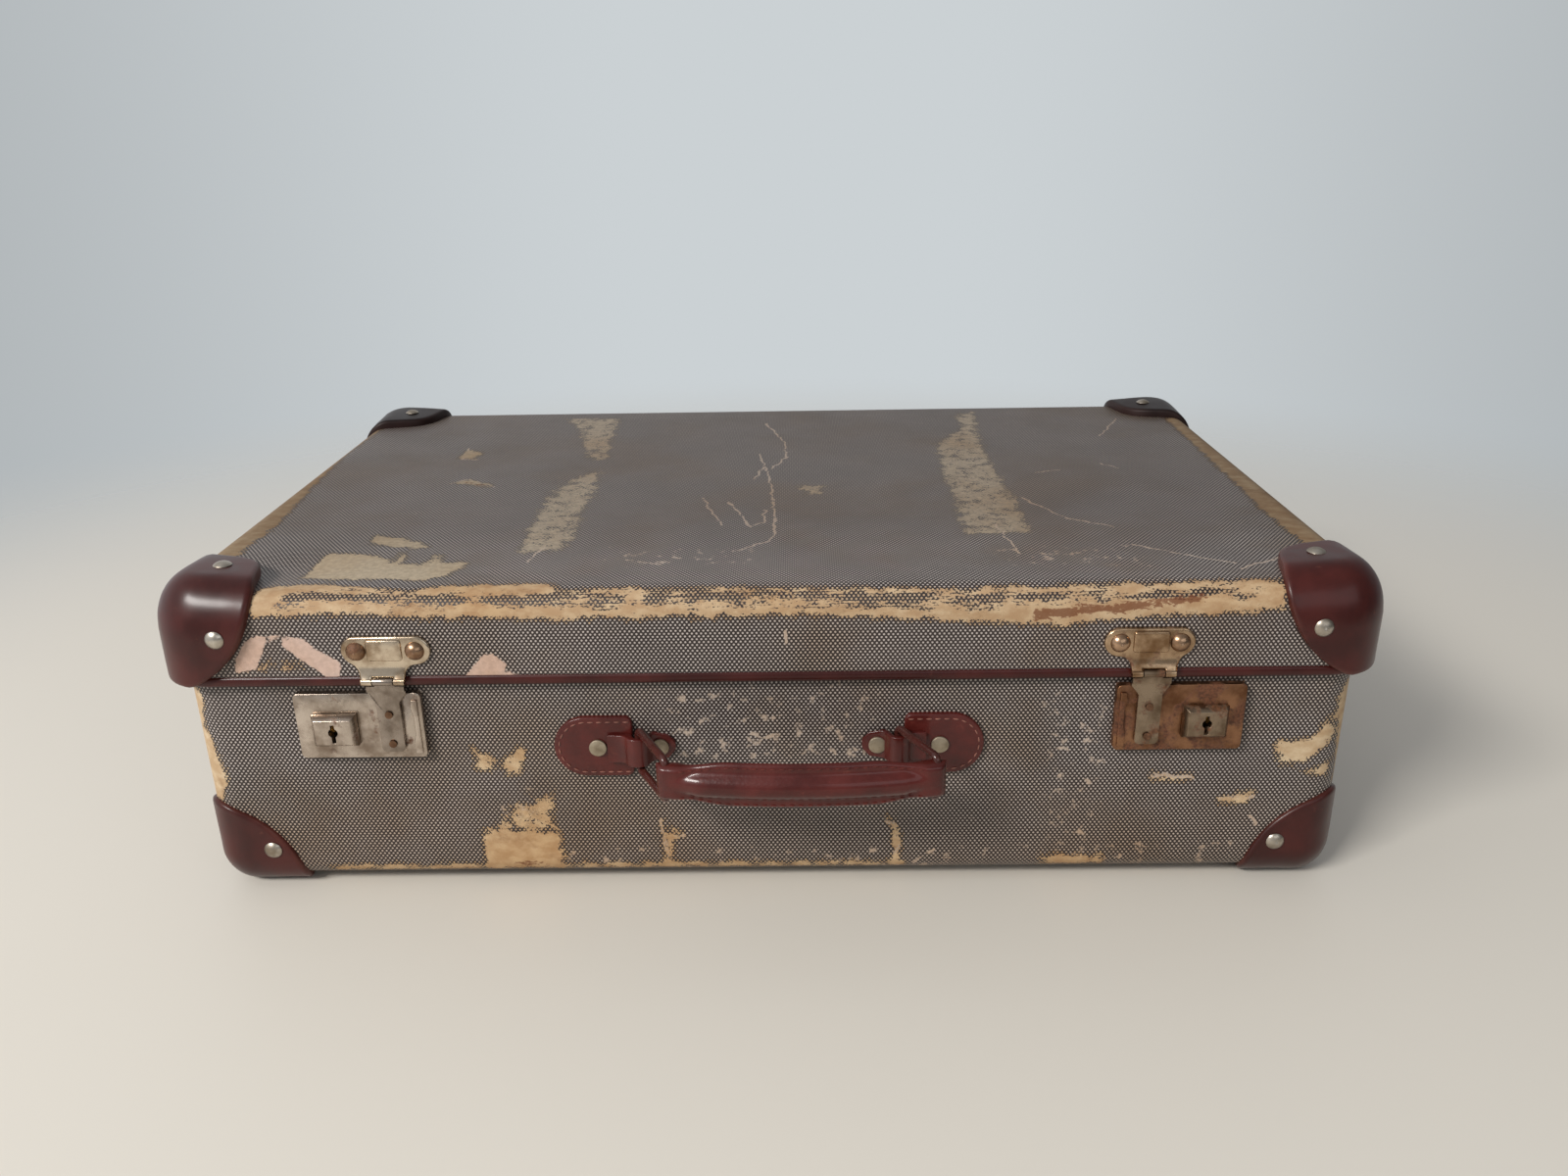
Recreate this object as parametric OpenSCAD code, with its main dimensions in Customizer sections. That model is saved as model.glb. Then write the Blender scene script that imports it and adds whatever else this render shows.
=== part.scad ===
// Travel case of pressed board with a telescoping lid, eight corner caps,
// two hasp locks, two rear hinges and a strap handle that sways on two rings.
// Millimetres. +X right, +Y away from the handle side, +Z up, z = 0 on the table.

/* [Case] */
// Outside width of the base box, side to side
case_w = 580; // [540:5:640]
// Outside depth of the base box, front to back
case_d = 366; // [330:2:420]
// Height of the base from its underside to the lower edge of the lid
base_h = 115; // [108:1:135]
// Height of the lid from its lower edge to the top panel
lid_h = 47; // [46:1:58]
// How far the wall of the base reaches up inside the lid
lap = 12; // [8:1:16]
// Plan radius of the upright corners of the base
corner_r = 18; // [16:1:22]
// Radius of the rounded edges of the top and bottom panels
edge_r = 12; // [10:0.5:13]

/* [Board and paper] */
// Thickness of the pressed board
board_t = 2.6; // [2:0.2:3.2]
// Thickness of the printed covering paper
cover_t = 0.4; // [0.3:0.05:0.6]
// Thickness of the lining paper
lining_t = 0.4; // [0.3:0.05:0.6]
// Play between the lining of the lid and the wall of the base
lid_play = 1.4; // [1.2:0.1:2]
// Height of the binding strip on the edge of the lid
binding_h = 5; // [4:0.25:6]
// Thickness of the binding strip outside the lid
binding_t = 1; // [0.8:0.1:1.2]

/* [Corner caps] */
// Thickness of a corner cap over the flat panels
cap_t = 5; // [4.6:0.1:5.4]
// Radius of the rounded edges of a cap
cap_edge_r = 20; // [17:0.5:20.5]
// Reach of a cap of the lid from its corner
lid_cap_reach = 54; // [52:1:57]
// Reach of a cap of the base from its corner
base_cap_reach = 51.5; // [50.5:0.5:55]
// Distance of the cap rivets from the nearer upright edge
cap_rivet_in = 37; // [34:0.5:39]
// Distance of the cap rivets from the top or bottom panel
cap_rivet_up = 25; // [23:0.5:26]
// Distance of the rivet on a cap's panel from the cap's two sides
cap_panel_in = 32; // [29:0.5:32.5]
// Radius of a cap rivet's head
cap_head_r = 4.7; // [4:0.1:5]

/* [Locks] */
// From the side of the base to the outer edge of a lock plate
lock_inset = 57; // [52:1:70]
// Width of a lock plate
lock_w = 63; // [62:0.5:68]
// Height of a lock plate
lock_h = 35.5; // [35:0.5:40]
// How far a lock plate stands out from the wall
lock_t = 4.5; // [4.5:0.1:5.2]
// From the lower edge of the lid down to the top of the lock plate
lock_drop = 4.5; // [4:0.25:6]
// Travel of the lock's slide
slide_travel = 5; // [4:0.25:5]
// Width of the hasp tongue
tongue_w = 11.5; // [10:0.5:13]
// How far the tongue hangs down over the lock plate
tongue_drop = 31; // [29:0.5:32]

/* [Handle] */
// Half the distance between the two tunnels that hold the rings
tunnel_x = 64; // [60:1:72]
// From the lower edge of the lid down to the middle of the handle
handle_drop = 36.5; // [34:0.5:44]
// Length of a ring from bar to bar
ring_len = 34; // [30:0.5:38]
// Radius of the ring's wire
wire_r = 2; // [1.8:0.1:2.1]
// Angle of the rings from the wall in the stored pose
sway = 62; // [45:1:90]
// How far the middle of the grip bows out from the line between its ends
grip_bow = 6; // [4:0.5:8]
// Radius of the leather roll along the grip
roll_r = 6.5; // [5.5:0.25:7]
// Height of the grip's stitched edges at the middle
grip_h = 20.5; // [18:0.5:22]

/* [Hinges] */
// From the side of the base to the middle of a hinge
hinge_inset = 105; // [80:1:140]
// Width of a hinge
hinge_w = 40; // [36:1:50]
// Radius of a hinge knuckle
knuckle_r = 2.6; // [2.4:0.1:2.6]

/* [Hidden] */
$fn = 64;

// Clearances
rivet_play = 0.05;
run_play = 0.05;
gap = 0.3;

// Levels
z_bot = cap_t;
z_rim = z_bot + base_h;
z_base_top = z_rim + lap;
z_top = z_rim + lid_h;
wall_t = cover_t + board_t + lining_t;
lid_over = lid_play + wall_t;
binding_over = lid_over + binding_t;
dome = 2;
sunk_depth = 1.8;
sunk_t = 1.3;

// Handle layout, measured from the front wall
tunnel_v = wire_r + 3.5;
ring_dx = ring_len * cos(sway);
ring_dy = ring_len * sin(sway);
bar_v = tunnel_v + ring_dy;
z_handle = z_rim - handle_drop;
strap_h = 15.4;
arm_z = strap_h / 2 + 1.2 + wire_r;
bend_r = 3;
loop_r = wire_r + 2.7;
bow_r = (tunnel_x * tunnel_x + grip_bow * grip_bow) / (2 * grip_bow);
bow_half = asin(tunnel_x / bow_r);
roll_half = bow_half - 14 / bow_r * 180 / PI;
tab_t = 2.6;
tab_r = 16.5;
tab_reach = 26.5;
tab_rivet = 21;
strap_t = 2.4;
strap_rivet = 10;

// The origin lies under the middle of the whole outline, handle included
handle_reach = bar_v + grip_bow + roll_r;
back_reach = lid_over + cap_t + dome;
mid_y = (handle_reach - back_reach) / 2;
front_y = mid_y - case_d / 2;
back_y = mid_y + case_d / 2;

// Lock layout on the right side
plate_t = 0.8;
u_out = case_w / 2 - lock_inset;
u_in = u_out - lock_w;
u_tongue = u_in + 15.5;
u_button = u_out - 19.5;
z_plate = z_rim - lock_drop;
z_button = z_plate - 19;
z_peg_top = z_plate - 10.5;
z_peg_low = z_plate - 26.5;
tongue_t = 1.2;
tongue_back = lock_t + gap;
staple_t = 2.4;
bolt_front = lock_t - plate_t - gap;
bolt_t = 1.5;
bolt_back = bolt_front - bolt_t;
case_front = lock_t - plate_t;
batten_t = 5;
case_depth = wall_t + batten_t;
bolt_tip = u_tongue + staple_t / 2 + 1.6;
u_case_in = u_tongue + 7.5;
u_case_out = u_out - 2;
z_case_low = z_button - 12.3;
z_case_top = z_button + 13.5;
cam_r = 5.6;
button_w = 22;
button_h = 17;
button_rise = 5;
button_side = 2;
button_bevel = 2;
stem_w = 10;
stem_h = 13;

// Hasp layout
u_bracket = u_tongue - 2.5;
bracket_t = 1.2;
hasp_r = 2;
hasp_pin_r = 0.9;
hasp_v = binding_over + 0.2 + hasp_r;
z_hasp = z_rim + 3.5;
hasp_half = 4.9;
neck_half = 10.25;
shoulder_half = 9.25;
bracket_w = 45;
bracket_h = 15;
bracket_up = 19;
bracket_rivet = 14.2;
hasp_head_r = 4.9;
hasp_dome = 3.2;

// Hinge layout
hinge_x = case_w / 2 - hinge_inset;
leaf_t = 1;
hinge_pin_r = 1.2;
hinge_v = knuckle_r + 0.6;
z_hinge = z_rim - knuckle_r - 0.5;
knuckle_half = 6.7;
hinge_rivet_in = 8;
hinge_rivet_drop = 13;
hinge_rivet_up = 18;
hinge_head_r = 3.2;
hinge_dome = 1.4;

// Rivet shanks
shank_r = 1.6;
chape_head_r = 4.4;
chape_head_t = 1.4;

// Outline of a wall and panel, x outwards and y up, rounded where they meet
module tub_profile(r_plan, h, r_edge) {
    difference() {
        square([r_plan, h]);
        difference() {
            translate([r_plan - r_edge, -1]) square([r_edge + 1, r_edge + 1]);
            translate([r_plan - r_edge, r_edge]) circle(r_edge);
        }
    }
}

// The same outline as a wall of even thickness
module shell_profile(r_plan, h, r_edge, t) {
    difference() {
        tub_profile(r_plan, h, r_edge);
        translate([-1, t]) square([r_plan - r_edge + 1, h]);
        translate([r_plan - r_edge, r_edge]) square([r_edge - t, h]);
        intersection() {
            translate([r_plan - r_edge, r_edge]) circle(r_edge - t);
            translate([r_plan - r_edge, t]) square([r_edge, r_edge - t]);
        }
    }
}

// A side of the box: the outline run straight along Y, facing +X
module straight_run(len) {
    rotate([90, 0, 0]) linear_extrude(len, center = true) children();
}

// Five-sided tray, open at the top
module tray(w, d, h, r_plan, r_edge, t) {
    for (i = [0 : 3]) {
        long = i % 2 == 0 ? w : d;
        wide = i % 2 == 0 ? d : w;
        rotate([0, 0, 90 * i]) {
            translate([long / 2 - r_plan, 0, 0])
                straight_run(wide - 2 * r_plan) shell_profile(r_plan, h, r_edge, t);
            translate([long / 2 - r_plan, wide / 2 - r_plan, 0])
                rotate_extrude(angle = 90) shell_profile(r_plan, h, r_edge, t);
        }
    }
    translate([-w / 2 + r_plan, -d / 2 + r_plan, 0])
        cube([w - 2 * r_plan, d - 2 * r_plan, t]);
}

// Solid corner of a box with its tip at the origin, body towards -X and -Y
module corner_block(r_plan, h, r_edge, leg) {
    translate([-r_plan, -r_plan, 0]) {
        rotate_extrude(angle = 90) tub_profile(r_plan, h, r_edge);
        translate([0, -leg / 2, 0]) straight_run(leg) tub_profile(r_plan, h, r_edge);
        rotate([0, 0, 90]) translate([0, leg / 2, 0]) straight_run(leg) tub_profile(r_plan, h, r_edge);
        translate([-leg, -leg, 0]) cube([leg, leg, h]);
    }
}

// Pressed cap over a corner: the corner block grown by the cap's thickness, trimmed to a ball
module cap_shell(r_plan, h, reach) {
    intersection() {
        difference() {
            corner_block(r_plan + cap_t, h, cap_edge_r, reach);
            translate([-cap_t, -cap_t, cap_t]) corner_block(r_plan, h, edge_r, reach + 2);
        }
        translate([-0.7, -0.7, 0.7]) rotate([0, 55, 45]) sphere(reach);
    }
}

// Rivet along +Z: domed head on the plane z = 0, shank below it
module domed_rivet(r_head, h_dome, r_shank, len) {
    ball = (r_head * r_head + h_dome * h_dome) / (2 * h_dome);
    intersection() {
        translate([0, 0, h_dome - ball]) sphere(ball);
        cylinder(r = r_head + 1, h = h_dome + 1);
    }
    translate([0, 0, -len]) cylinder(r = r_shank, h = len + 0.3);
}

// Places its children at one corner of a box of half-width hw and half-depth hd
module at_corner(sx, sy, hw, hd) {
    translate([sx * hw, mid_y + sy * hd, 0])
        mirror([sx < 0 ? 1 : 0, 0, 0])
        mirror([0, sy < 0 ? 1 : 0, 0])
        children();
}

// Right half as drawn, or its mirror image for the left
module side(s) {
    mirror([s < 0 ? 1 : 0, 0, 0]) children();
}

// A flat piece on the front wall: the outline in X and Z, thickness t out from depth v
module front_sheet(v, t) {
    translate([0, front_y - v, 0]) rotate([90, 0, 0]) linear_extrude(t) children();
}

// A flat piece on the back wall, thickness t out from depth v
module back_sheet(v, t) {
    translate([0, back_y + v + t, 0]) rotate([90, 0, 0]) linear_extrude(t) children();
}

// Something along -Y at a point of the front wall
module on_front(x, v, z) {
    translate([x, front_y - v, z]) rotate([90, 0, 0]) children();
}

// Something along +Y at a point of the back wall
module on_back(x, v, z) {
    translate([x, back_y + v, z]) rotate([-90, 0, 0]) children();
}

// Rectangle with round corners from quarter discs, lower left corner at the origin
module round_rect(w, h, r) {
    translate([r, 0]) square([w - 2 * r, h]);
    translate([0, r]) square([r, h - 2 * r]);
    translate([w - r, r]) square([r, h - 2 * r]);
    for (p = [[0, 0, r, r], [w - r, 0, w - r, r], [0, h - r, r, h - r], [w - r, h - r, w - r, h - r]])
        intersection() {
            translate([p[2], p[3]]) circle(r);
            translate([p[0], p[1]]) square(r);
        }
}

// Shanks of the cap rivets of one corner, tip of the cap at the origin and its panel at z = 0
module cap_rivet_places() {
    translate([-cap_rivet_in, 0, cap_rivet_up]) rotate([-90, 0, 0]) children();
    translate([0, -cap_rivet_in, cap_rivet_up]) rotate([0, 90, 0]) children();
}

module base_cap_holes(r) {
    hw = case_w / 2 + cap_t;
    hd = case_d / 2 + cap_t;
    for (sx = [-1, 1])
        for (sy = [-1, 1])
            at_corner(sx, sy, hw, hd) {
                cap_rivet_places() translate([0, 0, -wall_t - cap_t]) cylinder(r = r, h = wall_t + cap_t + 1);
                translate([-cap_panel_in, -cap_panel_in, -1]) cylinder(r = r, h = wall_t + cap_t + 1);
            }
}

module lid_cap_holes(r) {
    hw = case_w / 2 + lid_over + cap_t;
    hd = case_d / 2 + lid_over + cap_t;
    translate([0, 0, z_top + cap_t]) mirror([0, 0, 1])
        for (sx = [-1, 1])
            for (sy = [-1, 1])
                at_corner(sx, sy, hw, hd) {
                    cap_rivet_places() translate([0, 0, -wall_t - cap_t])
                        cylinder(r = r, h = wall_t + cap_t + 1);
                    translate([-cap_panel_in, -cap_panel_in, -1]) cylinder(r = r, h = wall_t + cap_t + 1);
                }
}

// Places of the four handle rivets, heads outwards
module chape_places() {
    for (s = [-1, 1]) {
        on_front(s * (tunnel_x - strap_rivet), strap_t, z_handle) children();
        on_front(s * (tunnel_x + tab_rivet), tab_t, z_handle) children();
    }
}

// Wall openings for the locks and rivets on the front of the base
module front_openings() {
    for (s = [-1, 1])
        side(s)
            translate([u_case_in - gap, front_y - 1, z_case_low - gap])
                cube([u_case_out - u_case_in + 2 * gap, case_depth + 2, z_case_top - z_case_low + 2 * gap]);
    chape_places() translate([0, 0, -case_depth - 8]) cylinder(r = shank_r + rivet_play, h = case_depth + 9);
}

// Hole through a wall for the shank of a rivet whose head points along +Z
module wall_hole() {
    translate([0, 0, -wall_t - 2]) cylinder(r = shank_r + rivet_play, h = wall_t + 3);
}

// Places of the hinge rivets
module base_leaf_places() {
    for (s = [-1, 1])
        for (dx = [-1, 1])
            on_back(s * hinge_x + dx * (hinge_w / 2 - hinge_rivet_in), leaf_t,
                z_hinge - hinge_rivet_drop) children();
}

module lid_leaf_places() {
    for (s = [-1, 1])
        for (dx = [-1, 1])
            on_back(s * hinge_x + dx * (hinge_w / 2 - hinge_rivet_in), lid_over + leaf_t,
                z_rim + hinge_rivet_up) children();
}

// Places of the hasp bracket rivets
module bracket_places() {
    for (s = [-1, 1])
        for (dx = [-bracket_rivet, bracket_rivet])
            on_front(s * (u_bracket + dx), lid_over + bracket_t, z_rim + bracket_up) children();
}

module base_part(inset, t) {
    translate([0, mid_y, z_bot + inset])
        tray(case_w - 2 * inset, case_d - 2 * inset, z_base_top - z_bot - inset,
            corner_r - inset, edge_r - inset, t);
}

module lid_part(inset, t) {
    grow = 2 * (lid_over - inset);
    translate([0, mid_y, z_top - inset]) mirror([0, 0, 1])
        tray(case_w + grow, case_d + grow, lid_h - inset - binding_t,
            corner_r + lid_over - inset, edge_r - inset, t);
}

module base_tray() {
    color("tan")
        difference() {
            base_part(cover_t, board_t);
            base_cap_holes(shank_r + rivet_play);
            front_openings();
            base_leaf_places() wall_hole();
        }
}

module base_cover() {
    color("dimgray")
        difference() {
            base_part(0, cover_t);
            base_cap_holes(shank_r + rivet_play);
            front_openings();
            base_leaf_places() wall_hole();
        }
}

module base_lining() {
    color("wheat")
        difference() {
            base_part(cover_t + board_t, lining_t);
            front_openings();
        }
}

module front_batten() {
    half = case_w / 2 - 45;
    color("burlywood")
        difference() {
            translate([-half, front_y + wall_t, z_handle - 14])
                cube([2 * half, batten_t, z_rim - 3 - z_handle + 14]);
            front_openings();
        }
}

module base_cap(sx, sy) {
    color("saddlebrown")
        difference() {
            at_corner(sx, sy, case_w / 2 + cap_t, case_d / 2 + cap_t)
                cap_shell(corner_r, base_cap_reach + 3, base_cap_reach);
            base_cap_holes(shank_r + rivet_play);
            at_corner(sx, sy, case_w / 2 + cap_t, case_d / 2 + cap_t)
                translate([-cap_panel_in, -cap_panel_in, -1])
                cylinder(r = cap_head_r + 0.2, h = sunk_depth + 1);
        }
}

module base_cap_front_left() { base_cap(-1, -1); }
module base_cap_front_right() { base_cap(1, -1); }
module base_cap_back_left() { base_cap(-1, 1); }
module base_cap_back_right() { base_cap(1, 1); }

// Domed rivets on the walls and flat sunk ones underneath
module base_cap_rivets() {
    color("silver")
        for (sx = [-1, 1])
            for (sy = [-1, 1])
                at_corner(sx, sy, case_w / 2 + cap_t, case_d / 2 + cap_t) {
                    cap_rivet_places() domed_rivet(cap_head_r, dome, shank_r, cap_t + cover_t + board_t);
                    translate([-cap_panel_in, -cap_panel_in, sunk_depth - sunk_t]) {
                        cylinder(r = cap_head_r, h = sunk_t);
                        cylinder(r = shank_r, h = cap_t + cover_t + board_t - sunk_depth + sunk_t);
                    }
                }
}

module lid_tray() {
    color("tan")
        difference() {
            lid_part(cover_t, board_t);
            lid_cap_holes(shank_r + rivet_play);
            bracket_places() wall_hole();
            lid_leaf_places() wall_hole();
        }
}

module lid_cover() {
    color("dimgray")
        difference() {
            lid_part(0, cover_t);
            lid_cap_holes(shank_r + rivet_play);
            bracket_places() wall_hole();
            lid_leaf_places() wall_hole();
        }
}

module lid_lining() {
    color("wheat") lid_part(cover_t + board_t, lining_t);
}

// Upright band that follows the plan outline of the lid, between two offsets from the base's wall
module rim_band(inner, outer, z, h) {
    for (i = [0 : 3]) {
        long = i % 2 == 0 ? case_w : case_d;
        wide = i % 2 == 0 ? case_d : case_w;
        translate([0, mid_y, z]) rotate([0, 0, 90 * i]) {
            translate([long / 2 + inner, -wide / 2 + corner_r, 0])
                cube([outer - inner, wide - 2 * corner_r, h]);
            translate([long / 2 - corner_r, wide / 2 - corner_r, 0])
                rotate_extrude(angle = 90) translate([corner_r + inner, 0]) square([outer - inner, h]);
        }
    }
}

// Strip folded round the edge of the lid
module lid_binding() {
    inside = 0.5;
    color("maroon") {
        rim_band(lid_over, binding_over, z_rim, binding_h);
        rim_band(lid_play, lid_over, z_rim, binding_t);
        rim_band(lid_play - inside, lid_play, z_rim, binding_h + 2);
    }
}

module lid_cap(sx, sy) {
    color("saddlebrown")
        difference() {
            translate([0, 0, z_top + cap_t]) mirror([0, 0, 1])
                at_corner(sx, sy, case_w / 2 + lid_over + cap_t, case_d / 2 + lid_over + cap_t)
                cap_shell(corner_r + lid_over, lid_h + cap_t - 0.8, lid_cap_reach);
            lid_cap_holes(shank_r + rivet_play);
            rim_band(lid_play, binding_over, z_rim - 1, binding_h + 1);
        }
}

module lid_cap_front_left() { lid_cap(-1, -1); }
module lid_cap_front_right() { lid_cap(1, -1); }
module lid_cap_back_left() { lid_cap(-1, 1); }
module lid_cap_back_right() { lid_cap(1, 1); }

module lid_cap_rivets() {
    color("silver")
        translate([0, 0, z_top + cap_t]) mirror([0, 0, 1])
        for (sx = [-1, 1])
            for (sy = [-1, 1])
                at_corner(sx, sy, case_w / 2 + lid_over + cap_t, case_d / 2 + lid_over + cap_t) {
                    cap_rivet_places() domed_rivet(cap_head_r, dome, shank_r, cap_t + cover_t + board_t);
                    translate([-cap_panel_in, -cap_panel_in, 0]) rotate([180, 0, 0])
                        domed_rivet(cap_head_r, dome, shank_r, cap_t + cover_t + board_t);
                }
}

// Shallow pressed box on the wall, notched behind the tongue and slotted for the slide
module lock_plate(s) {
    color("lightgray")
        side(s)
        difference() {
            front_sheet(0, lock_t) translate([u_in, z_plate - lock_h]) round_rect(lock_w, lock_h, 2.5);
            front_sheet(-1, lock_t + 1 - plate_t)
                translate([u_in + plate_t, z_plate - lock_h + plate_t])
                square([lock_w - 2 * plate_t, lock_h - 2 * plate_t]);
            translate([u_tongue - staple_t / 2 - 0.7, front_y - lock_t - 1, z_peg_low - 2.2])
                cube([staple_t + 1.4, lock_t + 2, z_plate - z_peg_low + 4]);
            translate([
                u_button - stem_w / 2 - gap - slide_travel,
                front_y - lock_t - 1,
                z_button - stem_h / 2 - gap
            ])
                cube([stem_w + 2 * gap + slide_travel, lock_t, stem_h + 2 * gap]);
        }
}

module lock_plate_left() { lock_plate(-1); }
module lock_plate_right() { lock_plate(1); }

// Pan behind the plate, let into the wall, with a flange on the inside of the case
module lock_case(s) {
    w = u_case_out - u_case_in;
    h = z_case_top - z_case_low;
    color("gray")
        side(s)
        difference() {
            union() {
                translate([u_case_in, front_y - case_front, z_case_low])
                    cube([w, case_front + case_depth + plate_t, h]);
                translate([u_case_in - 5, front_y + case_depth, z_case_low - 4])
                    cube([w + 10, plate_t, h + 8]);
            }
            translate([u_case_in + plate_t, front_y - case_front - 1, z_case_low + plate_t])
                cube([w - 2 * plate_t, case_front + 1 - bolt_back + gap, h - 2 * plate_t]);
            translate([u_case_in + plate_t, front_y - bolt_back, z_case_low + plate_t + 3])
                cube([w - 2 * plate_t, case_depth + bolt_back, h - 2 * plate_t - 7.6]);
            translate([u_case_in - 1, front_y - case_front - 1, z_button - 4.4])
                cube([3, case_front + 1 - bolt_back + gap, 8.8]);
        }
}

module lock_case_left() { lock_case(-1); }
module lock_case_right() { lock_case(1); }

// Bowed leaf that presses on the upper edge of the bolt
module lock_spring(s) {
    t = 0.4;
    half = 11;
    z_seat = z_case_top - plate_t;
    sag = z_seat - (z_button + 8 + gap);
    r = (half * half + sag * sag) / (2 * sag);
    side(s)
        front_sheet(bolt_back + 0.2, bolt_t - 0.4)
        translate([u_button - 2, 0]) {
            intersection() {
                translate([0, z_seat - sag + r])
                    difference() {
                        circle(r);
                        circle(r - t);
                    }
                translate([-half, z_seat - sag - 1]) square([2 * half, sag + 1]);
            }
            for (dx = [-1, 1])
                translate([dx * (half + 0.5) - 1.5, z_seat - t]) square([3, t]);
        }
}

module lock_springs() {
    color("steelblue") {
        lock_spring(-1);
        lock_spring(1);
    }
}

// Keyhole: a round eye with a short slot above and a longer one below
module keyhole(grow) {
    circle(2.3 + grow);
    translate([-0.95 - grow, -5.6]) square([1.9 + 2 * grow, 9.8]);
}

// Sliding button with the keyhole, bevelled all round
module lock_button(s) {
    base_v = lock_t + gap;
    u = button_w / 2;
    h = button_h / 2;
    rise = button_rise;
    u_top = u - button_bevel;
    h_top = h - button_bevel;
    color("silver")
        side(s)
        difference() {
            union() {
                intersection() {
                    translate([u_button, front_y - base_v, z_button - h])
                        linear_extrude(button_h)
                        polygon([
                            [-u, 0], [u, 0], [u, -button_side],
                            [u_top, -rise], [-u_top, -rise], [-u, -button_side]
                        ]);
                    translate([u_button - u, front_y - base_v, z_button]) rotate([90, 0, 90])
                        linear_extrude(button_w)
                        polygon([
                            [0, -h], [0, h], [-button_side, h],
                            [-rise, h_top], [-rise, -h_top], [-button_side, -h]
                        ]);
                }
                translate([u_button - stem_w / 2, front_y - base_v - 0.5, z_button - stem_h / 2])
                    cube([stem_w, base_v + 0.5 - bolt_front, stem_h]);
            }
            on_front(u_button, 0, z_button) linear_extrude(20) keyhole(0);
        }
}

module lock_button_left() { lock_button(-1); }
module lock_button_right() { lock_button(1); }

// Flat bolt behind the plate: its nose passes through the staple when the slide is thrown
module lock_bolt(s) {
    color("gray")
        side(s)
        difference() {
            front_sheet(bolt_back, bolt_t) {
                translate([bolt_tip, z_button - 4]) square([u_button - bolt_tip, 8]);
                translate([u_button - 10, z_case_low + plate_t + gap])
                    square([20, z_button + 8 - z_case_low - plate_t - gap]);
            }
            on_front(u_button, bolt_back - 1, z_button) cylinder(r = cam_r + run_play, h = bolt_t + 2);
        }
}

module lock_bolt_left() { lock_bolt(-1); }
module lock_bolt_right() { lock_bolt(1); }

// Round cam that the key turns, with a lug behind the bolt
module lock_tumbler(s) {
    color("goldenrod")
        side(s)
        difference() {
            union() {
                on_front(u_button, bolt_back - 2.5, z_button) cylinder(r = cam_r, h = bolt_t + 2.4);
                on_front(u_button, bolt_back - 4.5, z_button) {
                    cylinder(r = 3, h = 2.5);
                    translate([-1.5, -8, 0]) cube([3, 8, 2]);
                }
            }
            on_front(u_button, bolt_back - 6, z_button) linear_extrude(12)
                translate([-0.95, -5]) square([1.9, 9]);
        }
}

module lock_tumbler_left() { lock_tumbler(-1); }
module lock_tumbler_right() { lock_tumbler(1); }

// Plate on the lid whose neck carries the hasp's outer knuckles
module hasp_bracket(s) {
    z_mid = z_rim + bracket_up;
    z_low = z_mid - bracket_h / 2;
    color("lightgray")
        side(s)
        difference() {
            union() {
                front_sheet(lid_over, bracket_t)
                    translate([u_bracket - bracket_w / 2, z_low]) round_rect(bracket_w, bracket_h, 7);
                front_sheet(hasp_v - hasp_r, bracket_t)
                    polygon([
                        [u_tongue - neck_half, z_hasp],
                        [u_tongue + neck_half, z_hasp],
                        [u_tongue + neck_half, z_low - 3],
                        [u_tongue + neck_half + 3, z_low + 1.5],
                        [u_tongue - neck_half - 5, z_low + 1.5],
                        [u_tongue - neck_half, z_low - 3]
                    ]);
                front_sheet(lid_over, hasp_v - hasp_r - lid_over)
                    translate([u_tongue - neck_half, z_low]) square([2 * neck_half, 3]);
                translate([u_tongue - neck_half, front_y - hasp_v, z_hasp]) rotate([0, 90, 0])
                    cylinder(r = hasp_r, h = 2 * neck_half);
            }
            translate([u_tongue - hasp_half - gap, front_y - hasp_v - hasp_r - 1, z_hasp - hasp_r - 1])
                cube([2 * hasp_half + 2 * gap, 2 * hasp_r + 2, 2 * hasp_r + 1.5]);
            translate([u_tongue - neck_half - 1, front_y - hasp_v, z_hasp]) rotate([0, 90, 0])
                cylinder(r = hasp_pin_r, h = 2 * neck_half + 2);
            bracket_places() translate([0, 0, -wall_t]) cylinder(r = shank_r + rivet_play, h = wall_t + 3);
        }
}

module hasp_bracket_left() { hasp_bracket(-1); }
module hasp_bracket_right() { hasp_bracket(1); }

module hasp_rivets() {
    color("silver")
        bracket_places() domed_rivet(hasp_head_r, hasp_dome, shank_r, bracket_t + cover_t + board_t);
}

module hasp_pins() {
    color("gray")
        for (s = [-1, 1])
            side(s)
            translate([u_tongue - neck_half, front_y - hasp_v, z_hasp]) rotate([0, 90, 0])
            cylinder(r = hasp_pin_r, h = 2 * neck_half);
}

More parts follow.
